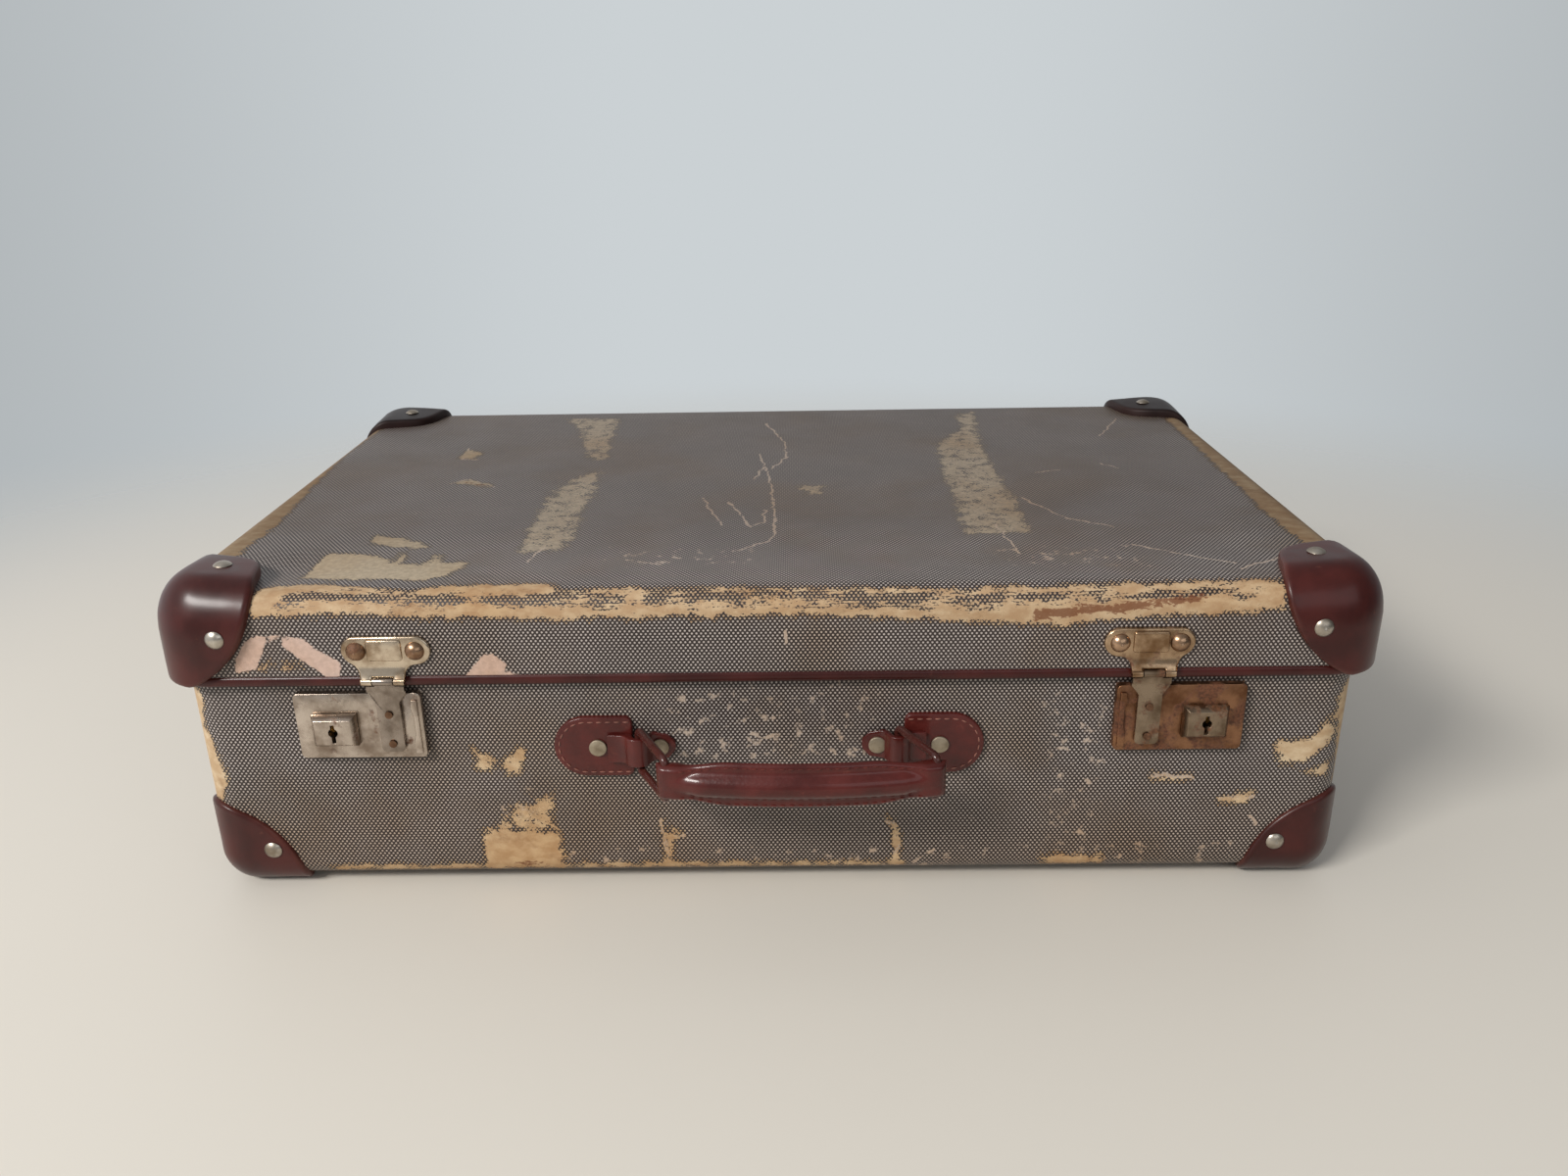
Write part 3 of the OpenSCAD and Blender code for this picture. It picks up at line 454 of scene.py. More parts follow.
@dataclass(frozen=True)
class CoverPaper(Finish):
    """Dotted covering paper, worn through to the board where the wear attributes say.

    The panel is half the width and depth of the field where bare board is greyed by dust and by painted
    sheen.
    The colour is multiplied by a tint, more and more between two heights on the unrolled paper: on the base
    the tint is dirt that browns it towards the bottom, on the lid it is painted shade that darkens the top
    and back against the front.
    """

    scratches: Lines = ()
    panel: Point2 | None = None
    # By default the tint is dirt that browns the base towards its bottom; the lid passes a tint of painted
    # shade instead
    aged: Colour = (0.94, 0.87, 0.79)
    ageing: Point2 = (78.0, 12.0)
    ground: Colour = srgb(46, 38, 36)
    dots: Colour = srgb(192, 182, 175)
    board: Colour = srgb(172, 141, 107)
    pale: Colour = srgb(193, 168, 135)
    dark: Colour = srgb(138, 104, 72)
    dust_and_sheen: Colour = srgb(158, 144, 123)
    browned: Colour = (0.6, 0.6, 0.58)
    scored: Colour = srgb(186, 168, 152)
    torn_label: Colour = srgb(190, 165, 152)
    stained: Colour = srgb(108, 58, 28)
    dirt: Colour = (0.86, 0.76, 0.64)
    score_w: float = 0.62

    def worn(self, s: NodeSheet, place: NodeSocket, dots: NodeSocket) -> tuple[NodeSocket, NodeSocket]:
        """Masks of the bare board and of the chafed print.

        Args:
            s: The sheet.
            place: Place on the unrolled paper, in millimetres.
            dots: Mask of the printed dots.

        Returns:
            The two masks.
        """
        lattice = s.math("MULTIPLY", s.math("SUBTRACT", dots, 0.5), 2.4)
        torn = s.math("ADD", s.attribute(Wear.BARE.value), lattice)
        bare = s.group(RAGGED_EDGE, Place=place, Coarse=10.0, Fine=7.0, Distance=torn)
        streak = s.vector("MULTIPLY", place, (0.42, 1.5, 1.0))
        shreds = s.attribute(Wear.REMAINS.value)
        kept = s.group(RAGGED_EDGE, Place=streak, Coarse=20.0, Fine=15.0, Distance=shreds)
        ink = s.math("MULTIPLY", kept, s.math("SUBTRACT", 1.0, dots))
        bare = s.math("MULTIPLY", bare, s.math("SUBTRACT", 1.0, ink))
        rubbed = s.math("ADD", s.attribute(Wear.RUBBED.value), s.math("MULTIPLY", lattice, 1.2))
        chafed = s.group(RAGGED_EDGE, Place=place, Coarse=21.0, Fine=16.0, Distance=rubbed)
        return bare, s.math("MULTIPLY", chafed, s.step(s.noise(place, 0.3, 4.0), 0.3, 0.6, 0.65, 1.0))

    def scored_marks(self, s: NodeSheet, place: NodeSocket) -> NodeSocket:
        """Mask of the scratches and of the small flecks.

        Args:
            s: The sheet.
            place: Place on the unrolled paper, in millimetres.

        Returns:
            The mask.
        """
        level = s.math("SUBTRACT", 0.75, s.math("MULTIPLY", s.attribute(Wear.FLECKS.value), 0.135))
        marks = s.group(MOTTLE, Place=place, Scale=0.16, Level=level)
        wander = s.add("TexNoise", None, Vector=place, Scale=0.12, Detail=2.0).outputs["Color"]
        sway = s.vector("MULTIPLY", s.vector("SUBTRACT", wander, (0.5, 0.5, 0.5)), (7.0, 7.0, 0.0))
        bent = s.vector("ADD", place, sway)
        broken = s.step(s.noise(place, 0.22, 3.0), 0.34, 0.46)
        for line in self.scratches:
            for start, end in zip(line, line[1:]):
                mark = s.group(SCRATCH_LINE, Place=bent, Start=(*start, 0.0), End=(*end, 0.0),
                               Width=self.score_w)
                marks = s.math("MAXIMUM", marks, s.math("MULTIPLY", mark, broken))
        return s.math("MULTIPLY", marks, 0.85)

    def board_colour(self, s: NodeSheet, place: NodeSocket, fibre: NodeSocket) -> NodeSocket:
        """Colour of the bare board: greyed on the panel by dust and by painted sheen, warmer over its edges.

        Args:
            s: The sheet.
            place: Place on the unrolled paper, in millimetres.
            fibre: Noise of the board's fibres.

        Returns:
            The colour.
        """
        along = s.vector("MULTIPLY", place, (0.65, 1.0, 1.0))
        warm = s.mix(s.step(s.noise(along, 0.16, 5.0, 0.6), 0.36, 0.68), self.board, self.pale)
        warm = s.mix(s.step(s.noise(along, 0.06, 5.0, 0.7), 0.52, 0.8), warm, self.dark)
        if self.panel is None:
            return warm
        ways = s.add("SeparateXYZ", None, Vector=s.vector("ABSOLUTE", place)).outputs
        past = [s.math("SUBTRACT", ways[i], self.panel[i]) for i in range(2)]
        browned = s.mix(1.0, warm, self.browned, "MULTIPLY")
        warm = s.mix(s.step(past[0], -8.0, 4.0), warm, browned)
        # Bare board on the panel: greyed partly by dust, partly by painted sheen
        grey = s.mix(s.step(fibre, 0.36, 0.66), self.dust_and_sheen, shaded(self.dust_and_sheen, 1.3))
        return s.mix(s.step(s.math("MAXIMUM", past[0], past[1]), -7.0, 2.0), grey, warm)

    def dress(self, s: NodeSheet, shader: Node) -> None:
        """Print, bare board, label remains, dirt and the step at torn edges.

        Args:
            s: The sheet.
            shader: The shader.
        """
        unrolled = s.add("UVMap", {"uv_map": "paper"}).outputs[0]
        place = s.vector("MULTIPLY", unrolled, (1 / MM, 1 / MM, 0.0))
        dots = s.group(PRINTED_DOTS, Place=place)
        bare, chafed = self.worn(s, place, dots)
        marks = self.scored_marks(s, place)
        label = s.group(RAGGED_EDGE, Place=place, Coarse=3.0, Fine=2.5,
                        Distance=s.attribute(Wear.LABEL.value))
        fibre = s.noise(place, 0.35, 5.0, 0.65)
        fading = s.step(s.noise(place, 0.02, 4.0, 0.6), 0.3, 0.7)
        faded = s.mix(fading, shaded(self.dots, 0.84), self.dots)
        ink = s.mix(s.step(s.noise(place, 0.011, 3.0), 0.35, 0.65), self.ground, shaded(self.ground, 1.35))
        board = self.board_colour(s, place, fibre)
        scrap = s.mix(s.step(fibre, 0.4, 0.6), self.torn_label, shaded(self.torn_label, 1.15))
        colour = s.mix(dots, ink, faded)
        for mask, layer in ((chafed, board), (marks, self.scored), (bare, board), (label, scrap)):
            colour = s.mix(mask, colour, layer)
        stain = s.group(RAGGED_EDGE, Place=s.vector("MULTIPLY", place, (0.5, 1.0, 1.0)), Coarse=8.0,
                        Fine=7.0, Distance=s.attribute(Wear.STAIN.value))
        colour = s.mix(s.math("MULTIPLY", stain, 0.8), colour, self.stained)
        soil = s.mix(s.step(s.noise(place, 0.009, 5.0, 0.6), 0.42, 0.68), (1.0, 1.0, 1.0), self.dirt)
        colour = s.mix(1.0, colour, soil, "MULTIPLY")
        # Multiplies in the tint between its two heights: dirt on the base, painted shade over the lid's top
        # and back
        up = s.add("SeparateXYZ", None, Vector=place).outputs[1]
        old = s.mix(1.0, colour, self.aged, "MULTIPLY")
        s.put(shader.inputs["Base Color"], s.mix(s.step(up, *self.ageing), colour, old))
        s.put(shader.inputs["Roughness"], s.step(s.math("MAXIMUM", bare, label), 0.0, 1.0, 0.46, 0.75))
        shader.inputs["Specular IOR Level"].default_value = 0.4
        relief = s.math("MULTIPLY", s.math("SUBTRACT", fibre, dots), 0.12)
        sunk = s.math("MAXIMUM", bare, s.math("MULTIPLY", marks, 0.5))
        height = s.math("SUBTRACT", relief, s.math("SUBTRACT", sunk, label))
        self.bump(s, shader, height, 0.35, 0.0003)


@dataclass(frozen=True)
class PlainSheet(Finish):
    """Board, lining paper or wood: a plain colour with fibres and soft dirt."""

    light: Colour = srgb(198, 168, 124)
    shade: Colour = srgb(150, 118, 80)
    stretch: Point3 = (1.0, 1.0, 1.0)
    rough: float = 0.8

    def dress(self, s: NodeSheet, shader: Node) -> None:
        """Fibres along one way, clouds of dirt, and a little relief.

        Args:
            s: The sheet.
            shader: The shader.
        """
        place = s.vector("MULTIPLY", self.place(s), self.stretch)
        fibre = s.noise(place, 420.0, 5.0, 0.65)
        cloud = s.noise(self.place(s), 9.0, 4.0, 0.6)
        share = s.math("MULTIPLY", s.step(cloud, 0.35, 0.75), 0.55)
        share = s.math("ADD", share, s.math("MULTIPLY", s.step(fibre, 0.45, 0.7), 0.4))
        s.put(shader.inputs["Base Color"], s.mix(share, self.light, self.shade))
        shader.inputs["Roughness"].default_value = self.rough
        self.bump(s, shader, fibre, 0.25, 0.0003)


@dataclass(frozen=True)
class Fibre(Finish):
    """Lacquered fibre of the corner caps and the binding, scuffed and rubbed at its edges."""

    colour: Colour = srgb(70, 25, 21)
    scuff: Colour = srgb(108, 60, 47)
    edge: bool = True
    gloss: float = 0.22

    def dress(self, s: NodeSheet, shader: Node) -> None:
        """Lacquer with clouds, scuffs, fine scratches and worn edges.

        Args:
            s: The sheet.
            shader: The shader.
        """
        place = self.place(s)
        cloud = s.noise(place, 34.0, 4.0, 0.6)
        colour = s.mix(s.step(cloud, 0.35, 0.7), shaded(self.colour, 0.55), self.colour)
        scuffs = s.group(MOTTLE, Place=place, Scale=150.0, Level=0.7)
        fine = s.vector("MULTIPLY", place, (1.0, 1.0, 6.0))
        scratches = s.group(MOTTLE, Place=fine, Scale=120.0, Level=0.74)
        marks = s.math("MAXIMUM", s.math("MULTIPLY", scuffs, 0.4), s.math("MULTIPLY", scratches, 0.4))
        if self.edge:
            rim = s.step(s.math("ADD", s.attribute("rim"), s.math("MULTIPLY", cloud, 0.12)), 1.02, 1.08)
            marks = s.math("MAXIMUM", marks, s.math("MULTIPLY", rim, 0.3))
        s.put(shader.inputs["Base Color"], s.mix(marks, colour, self.scuff))
        rough = s.math("ADD", s.step(cloud, 0.3, 0.7, 0.3, 0.42), s.math("MULTIPLY", marks, 0.3))
        s.put(shader.inputs["Roughness"], rough)
        shader.inputs["Coat Weight"].default_value = self.gloss
        shader.inputs["Coat Roughness"].default_value = 0.2
        shader.inputs["Specular IOR Level"].default_value = 0.22
        height = s.math("SUBTRACT", s.noise(place, 60.0, 3.0), s.math("MULTIPLY", marks, 0.3))
        self.bump(s, shader, height, 0.16, 0.0008)


@dataclass(frozen=True)
class Leather(Finish):
    """Red-brown harness leather, polished by use, with a fine grain."""

    colour: Colour = srgb(84, 27, 22)
    rubbed: Colour = srgb(106, 47, 37)
    rough: float = 0.36
    gloss: float = 0.42

    def dress(self, s: NodeSheet, shader: Node) -> None:
        """Grain, clouds of handling and a polish.

        Args:
            s: The sheet.
            shader: The shader.
        """
        place = self.place(s)
        grain = s.group(HIDE_GRAIN, Place=place)
        cloud = s.noise(place, 60.0, 4.0, 0.6)
        colour = s.mix(s.step(cloud, 0.3, 0.72), shaded(self.colour, 0.58), self.colour)
        worn = s.math("MULTIPLY", s.group(MOTTLE, Place=place, Scale=190.0, Level=0.67), 0.45)
        s.put(shader.inputs["Base Color"], s.mix(worn, colour, self.rubbed))
        s.put(shader.inputs["Roughness"], s.step(cloud, 0.3, 0.7, self.rough - 0.06, self.rough + 0.1))
        shader.inputs["Coat Weight"].default_value = self.gloss
        shader.inputs["Coat Roughness"].default_value = 0.13
        shader.inputs["Specular IOR Level"].default_value = 0.22
        self.bump(s, shader, grain, 0.16, 0.0002)


@dataclass(frozen=True)
class Metal(Finish):
    """Plated sheet metal or wire: rubbed plating, tarnish and rust in patches."""

    colour: Colour = srgb(196, 186, 168)
    tarnish: Colour = srgb(128, 112, 88)
    rust: Colour = srgb(112, 74, 48)
    rust_level: float = 0.62
    rough: float = 0.28
    specks: float = 0.6

    def dress(self, s: NodeSheet, shader: Node) -> None:
        """Plating under tarnish clouds, with dull rust where the noise passes its level.

        Args:
            s: The sheet.
            shader: The shader.
        """
        place = self.place(s)
        cloud = s.noise(place, 75.0, 4.0, 0.6)
        plate = s.mix(s.step(cloud, 0.36, 0.7), self.colour, self.tarnish)
        rusty = s.group(MOTTLE, Place=place, Scale=95.0, Level=self.rust_level)
        specks = s.group(MOTTLE, Place=place, Scale=520.0, Level=0.7)
        rusty = s.math("MAXIMUM", rusty, s.math("MULTIPLY", specks, self.specks))
        fine = s.noise(place, 900.0, 3.0)
        rust = s.mix(s.step(fine, 0.35, 0.65), self.rust, shaded(self.rust, 0.5))
        s.put(shader.inputs["Base Color"], s.mix(rusty, plate, rust))
        s.put(shader.inputs["Metallic"], s.step(rusty, 0.0, 1.0, 1.0, 0.25))
        dull = s.step(cloud, 0.3, 0.75, self.rough, self.rough + 0.16)
        s.put(shader.inputs["Roughness"], s.math("ADD", dull, s.math("MULTIPLY", rusty, 0.3)))
        height = s.math("ADD", s.math("MULTIPLY", fine, 0.4), s.math("MULTIPLY", rusty, 0.5))
        self.bump(s, shader, height, 0.09, 0.0002)


BOARD = PlainSheet("pressed_board_finish")
LINING = PlainSheet("lining_finish", srgb(206, 192, 164), srgb(168, 148, 116), (1.0, 1.0, 0.12), 0.75)
BATTEN = PlainSheet("batten_finish", srgb(190, 150, 104), srgb(140, 98, 58), (0.04, 1.0, 1.0), 0.7)
CAP_FIBRE = Fibre("cap_fibre_finish")
# Painted shade: the back caps are of the same fibre as the front ones, coloured far darker for the shade on
# them
SHADED_BACK_FIBRE = Fibre("back_cap_fibre_finish", srgb(30, 17, 16), srgb(62, 38, 32), True, 0.0)
BINDING = Fibre("binding_finish", srgb(68, 22, 18), srgb(98, 48, 38), False)
LEATHER = Leather("handle_leather_finish")
THREAD = Leather("stitch_finish", srgb(150, 102, 90), srgb(176, 130, 112), 0.55, 0.0)
GRIP_THREAD = Leather("grip_stitch_finish", srgb(100, 44, 38), srgb(122, 62, 52), 0.45, 0.2)
RIVET = Metal("rivet_finish", srgb(194, 186, 174), srgb(140, 128, 112), rust_level=0.7)
CHAPE_RIVET = Metal("chape_rivet_finish", srgb(178, 166, 146), srgb(128, 114, 94), rust_level=0.68, rough=0.5)
WARM_NICKEL = Metal("warm_nickel_finish", srgb(206, 190, 168), srgb(140, 118, 94), rust_level=0.68,
                    rough=0.17, specks=0.3)
BRONZE = Metal("bronze_rivet_finish", srgb(178, 146, 118), srgb(120, 90, 68), rust_level=0.62,
               rough=0.22, specks=0.3)
BROWN_NICKEL = Metal("brown_nickel_finish", srgb(186, 158, 128), srgb(124, 94, 66), srgb(110, 72, 48),
                     rust_level=0.62, rough=0.2, specks=0.3)
PALE_NICKEL = Metal("pale_nickel_finish", srgb(188, 175, 162), srgb(134, 118, 104), rust_level=0.63,
                    rough=0.22, specks=0.45)
DARK_NICKEL = Metal("dark_nickel_finish", srgb(150, 132, 112), srgb(104, 86, 68), rust_level=0.6,
                    rough=0.24, specks=0.4)
GREY_NICKEL = Metal("grey_nickel_finish", srgb(154, 142, 131), srgb(112, 99, 87), rust_level=0.68,
                    rough=0.2, specks=0.3)
SMALL_RIVET = Metal("small_rivet_finish", srgb(120, 92, 72), srgb(82, 58, 44), rust_level=0.56)
RUSTED = Metal("rusted_plate_finish", srgb(150, 110, 82), srgb(104, 70, 48), srgb(110, 68, 44),
               rust_level=0.52, rough=0.34, specks=0.35)
STEEL = Metal("plain_steel_finish", srgb(150, 146, 140), srgb(96, 88, 80), rust_level=0.6)
BRASS = Metal("brass_finish", srgb(186, 150, 84), srgb(120, 92, 48), rust_level=0.72)
WIRE = Leather("ring_wire_finish", srgb(74, 34, 29), srgb(120, 76, 58), 0.26, 0.5)


def settle(bm: BMesh, name: str, finish: Finish, body: str,
           stands_for: Sequence[str] = (), crease: float = 38.0) -> Object:
    """Turns a bmesh in millimetres into a piece that rides on a body.

    Args:
        bm: The shape, which is freed.
        name: Name of the piece.
        finish: Its finish.
        body: The body that it rides on.
        stands_for: CAD nodes that it replaces.
        crease: Edges sharper than this, in degrees, stay sharp.

    Returns:
        The piece.
    """
    bmesh.ops.scale(bm, vec=(MM, MM, MM), verts=bm.verts)
    mesh = bpy.data.meshes.new(name)
    bm.to_mesh(mesh)
    bm.free()
    mesh.shade_smooth()
    mesh.set_sharp_from_angle(angle=math.radians(crease))
    piece = bpy.data.objects.new(name, mesh)
    bpy.context.scene.collection.objects.link(piece)
    mesh.materials.append(finish.material())
    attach(piece, body)
    if stands_for:
        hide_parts(*stands_for)
    LOG.info("%s: %d faces on %s", name, len(mesh.polygons), body)
    return piece


def round_edges(bm: BMesh, edges: list[BMEdge], width: float, segments: int, clamp: bool = False) -> None:
    """Rounds edges off.

    Args:
        bm: The mesh.
        edges: The edges.
        width: Width of the rounding.
        segments: Its steps.
        clamp: Whether it stops where two roundings meet.
    """
    bmesh.ops.bevel(bm, geom=edges, offset=width, offset_type="OFFSET", segments=segments, profile=0.5,
                    affect="EDGES", material=-1, clamp_overlap=clamp)


def draw_out(bm: BMesh, edges: list[BMEdge], run: Sequence[float]) -> list[BMEdge]:
    """Extrudes edges along a straight run.

    Args:
        bm: The mesh.
        edges: The edges.
        run: How far they go.

    Returns:
        The edges at the far end.
    """
    drawn = bmesh.ops.extrude_edge_only(bm, edges=edges)["geom"]
    ends = {g for g in drawn if isinstance(g, BMVert)}
    bmesh.ops.translate(bm, verts=list(ends), vec=run)
    return [g for g in drawn if isinstance(g, BMEdge) and all(v in ends for v in g.verts)]


def raise_plate(bm: BMesh, run: Sequence[float]) -> None:
    """Fills a closed outline and extrudes it into a plate.

    Args:
        bm: The mesh, which holds only the outline.
        run: How far the plate's front lies from its back.
    """
    bmesh.ops.contextual_create(bm, geom=bm.edges[:])
    grown = bmesh.ops.extrude_face_region(bm, geom=bm.faces[:])["geom"]
    bmesh.ops.translate(bm, verts=[g for g in grown if isinstance(g, BMVert)], vec=run)
    bmesh.ops.recalc_face_normals(bm, faces=bm.faces)


def eased_copy(node: str, bevel: float, segments: int = 2) -> BMesh:
    """A CAD node's shape with its sharp edges rounded.

    Args:
        node: Name of the node.
        bevel: Width of the rounding, or 0 for none.
        segments: Steps of the rounding.

    Returns:
        The shape, in millimetres.
    """
    bm = bmesh.new()
    bm.from_mesh(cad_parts[node].data)
    bmesh.ops.scale(bm, vec=(1 / MM,) * 3, verts=bm.verts)
    bmesh.ops.remove_doubles(bm, verts=bm.verts, dist=0.004)
    bmesh.ops.dissolve_limit(bm, angle_limit=math.radians(0.8), verts=bm.verts, edges=bm.edges)
    if bevel:
        sharp = [e for e in bm.edges if len(e.link_faces) == 2 and e.calc_face_angle(0.0) > math.radians(34)]
        round_edges(bm, sharp, bevel, segments, True)
    return bm


def plan_sweep(bm: BMesh, width: float, depth: float, corner_r: float,
               edges: list[BMEdge], steps: int = 10) -> None:
    """Carries a profile round a rectangle with round corners, centred on the origin.

    Args:
        bm: The mesh, whose profile stands at the right end of the front side.
        width: Width of the rectangle.
        depth: Its depth.
        corner_r: Radius of its corners.
        edges: Edges of the profile.
        steps: Steps of each corner.
    """
    half_w, half_d = width / 2 - corner_r, depth / 2 - corner_r
    moves = (((half_w, -half_d), (0, 2 * half_d, 0)), ((half_w, half_d), (-2 * half_w, 0, 0)),
             ((-half_w, half_d), (0, -2 * half_d, 0)), ((-half_w, -half_d), (2 * half_w, 0, 0)))
    for centre, run in moves:
        verts = list({v for e in edges for v in e.verts})
        turned = bmesh.ops.spin(bm, geom=edges + verts, cent=(*centre, 0), axis=(0, 0, 1),
                                angle=math.pi / 2, steps=steps)["geom_last"]
        edges = draw_out(bm, [g for g in turned if isinstance(g, BMEdge)], run)
    bmesh.ops.remove_doubles(bm, verts=bm.verts, dist=0.01)
    bmesh.ops.recalc_face_normals(bm, faces=bm.faces)


def chain(bm: BMesh, points: Iterable[Sequence[float]], closed: bool = False) -> list[BMEdge]:
    """Draws a few vertices joined by edges.

    Args:
        bm: The mesh.
        points: The places of the vertices.
        closed: Whether the last one joins the first.

    Returns:
        The edges.
    """
    verts = [bm.verts.new(p) for p in points]
    pairs = list(zip(verts, verts[1:])) + ([(verts[-1], verts[0])] if closed else [])
    return [bm.edges.new(pair) for pair in pairs]


@dataclass(frozen=True)
class Patch:
    """One worn place on the unrolled paper: an outline in millimetres and how deep its wear goes."""

    kind: Wear
    outline: tuple[Point2, ...]
    bias: float = 0.0

    def distance(self, places: np.ndarray) -> np.ndarray:
        """Distance inwards from the outline, negative outside it.

        Args:
            places: Places on the paper, one row each.

        Returns:
            The distances.
        """
        inside = np.zeros(len(places), bool)
        nearest = np.full(len(places), 1e9)
        x, y = places[:, 0], places[:, 1]
        for (ax, ay), (bx, by) in zip(self.outline, self.outline[1:] + self.outline[:1]):
            run = np.array((bx - ax, by - ay))
            share = np.clip(((x - ax) * run[0] + (y - ay) * run[1]) / max(run @ run, 1e-9), 0, 1)
            nearest = np.minimum(nearest, np.hypot(x - ax - share * run[0], y - ay - share * run[1]))
            if ay != by:
                crosses = ((ay > y) != (by > y)) & (x < (bx - ax) * (y - ay) / (by - ay) + ax)
                inside ^= crosses
        return np.where(inside, nearest, -nearest) + self.bias


def strip(kind: Wear, left: Sequence[Point2], right: Sequence[Point2], bias: float = 0.0) -> Patch:
    """A band between two lines that run the same way."""
    return Patch(kind, tuple(left) + tuple(reversed(right)), bias)


def spot(kind: Wear, x0: float, y0: float, x1: float, y1: float, bias: float = 0.0) -> Patch:
    """A worn place with an upright rectangle as outline."""
    return Patch(kind, ((x0, y0), (x1, y0), (x1, y1), (x0, y1)), bias)


@dataclass
class PaperShell:
    """A five-sided shell with rounded edges, its panel on top, and the paper unrolled over it."""

    width: float
    depth: float
    height: float
    corner_r: float
    edge_r: float
    grid: float = 5.0

    def profile(self) -> list[Point2]:
        """Steps outwards and downwards from the panel's inner field to the rim.

        Returns:
            Pairs of distance out and distance down.
        """
        flat = self.corner_r - self.edge_r
        steps = [(flat * i / 4, 0.0) for i in range(1, 5)]
        for i in range(1, 9):
            turn = math.pi / 2 * i / 8
            steps.append((flat + self.edge_r * math.sin(turn), self.edge_r * (1 - math.cos(turn))))
        wall = self.height - self.edge_r
        count = max(2, round(wall / self.grid))
        steps += [(self.corner_r, self.edge_r + wall * i / count) for i in range(1, count + 1)]
        return steps

    def build(self) -> BMesh:
        """The outer skin, centred on the origin with its panel at z = 0 and its walls below.

        Returns:
            The mesh.
        """
        bm = bmesh.new()
        half_w, half_d = self.width / 2 - self.corner_r, self.depth / 2 - self.corner_r
        bmesh.ops.create_grid(bm, x_segments=round(2 * half_w / self.grid),
                              y_segments=round(2 * half_d / self.grid), size=1.0,
                              matrix=Matrix.Diagonal((half_w, half_d, 1.0, 1.0)))
        for axis, sign in ((1, -1), (0, 1), (1, 1), (0, -1)):
            border, other = (half_d, half_w) if axis else (half_w, half_d)
            edges = [e for e in bm.edges if len(e.link_faces) == 1 and all(
                abs(v.co[axis] - sign * border) < NEAR and abs(v.co[1 - axis]) < other + NEAR
                and v.co.z > -NEAR for v in e.verts)]
            done = (0.0, 0.0)
            for out, down in self.profile():
                move = Vector((0.0, 0.0, done[1] - down))
                move[axis] = sign * (out - done[0])
                edges = draw_out(bm, edges, move)
                done = (out, down)
        for sx, sy, angle in ((1, -1, 90), (1, 1, -90), (-1, 1, 90), (-1, -1, -90)):
            end = [e for e in bm.edges if len(e.link_faces) == 1
                   and all(abs(v.co.x - sx * half_w) < NEAR and sy * v.co.y > half_d - NEAR for v in e.verts)]
            verts = list({v for e in end for v in e.verts})
            bmesh.ops.spin(bm, geom=end + verts, cent=(sx * half_w, sy * half_d, 0), axis=(0, 0, 1),
                           angle=math.radians(angle), steps=8)
        bmesh.ops.remove_doubles(bm, verts=bm.verts, dist=0.01)
        bmesh.ops.recalc_face_normals(bm, faces=bm.faces)
        if max(bm.faces, key=lambda f: f.calc_area()).normal.z < 0:
            bmesh.ops.reverse_faces(bm, faces=bm.faces)
        return bm

    def unrolled(self, at: Vector) -> Point2:
        """Place on the paper, with each wall folded out from the panel.

        Args:
            at: A point of the shell, panel at z = 0.

        Returns:
            The place on the paper.
        """
        flat_w, flat_d = self.width / 2 - self.edge_r, self.depth / 2 - self.edge_r
        u, v = at.x, at.y
        out_x, out_y = abs(at.x) - flat_w, abs(at.y) - flat_d
        down = -at.z
        if max(out_x, out_y) > 0:
            out = max(out_x, out_y)
            turn = math.pi / 2
            if down < self.edge_r:
                turn = math.atan2(min(out, self.edge_r), max(self.edge_r - down, 0.0))
            run = self.edge_r * turn + max(0.0, down - self.edge_r)
            if out_y >= out_x:
                v = math.copysign(flat_d + run, at.y)
            else:
                u = math.copysign(flat_w + run, at.x)
        return u, v


def dress_paper(piece: Object, places: np.ndarray, patches: Sequence[Patch]) -> None:
    """Stores the unrolled places as a UV map and the wear as attributes.

    Args:
        piece: The covering, whose vertices are in the order of places.
        places: Place on the paper of each corner of each face.
        patches: The worn places.
    """
    mesh = piece.data
    layer = mesh.uv_layers.new(name="paper")
    layer.data.foreach_set("uv", (places * MM).astype(np.float32).ravel())
    corner_vertex = np.empty(len(mesh.loops), np.int32)
    mesh.loops.foreach_get("vertex_index", corner_vertex)
    at = np.zeros((len(mesh.vertices), 2))
    at[corner_vertex] = places
    for kind in Wear:
        held = np.full(len(at), UNWORN if kind is not Wear.FLECKS else 0.0)
        for patch in patches:
            if patch.kind is kind:
                depth = np.minimum(patch.distance(at), kind.most)
                held = np.maximum(held, np.clip(depth / FLECK_FADE, 0, 1) if kind is Wear.FLECKS else depth)
        mesh.attributes.new(kind.value, "FLOAT", "POINT").data.foreach_set("value", held.astype(np.float32))


def thicken(piece: Object, thickness: float) -> None:
    """Gives a skin its thickness, inwards.

    Args:
        piece: The skin.
        thickness: In millimetres.
    """
    wall = piece.modifiers.new("thickness", "SOLIDIFY")
    wall.thickness = thickness * MM
    wall.offset = -1.0
    wall.use_even_offset = True


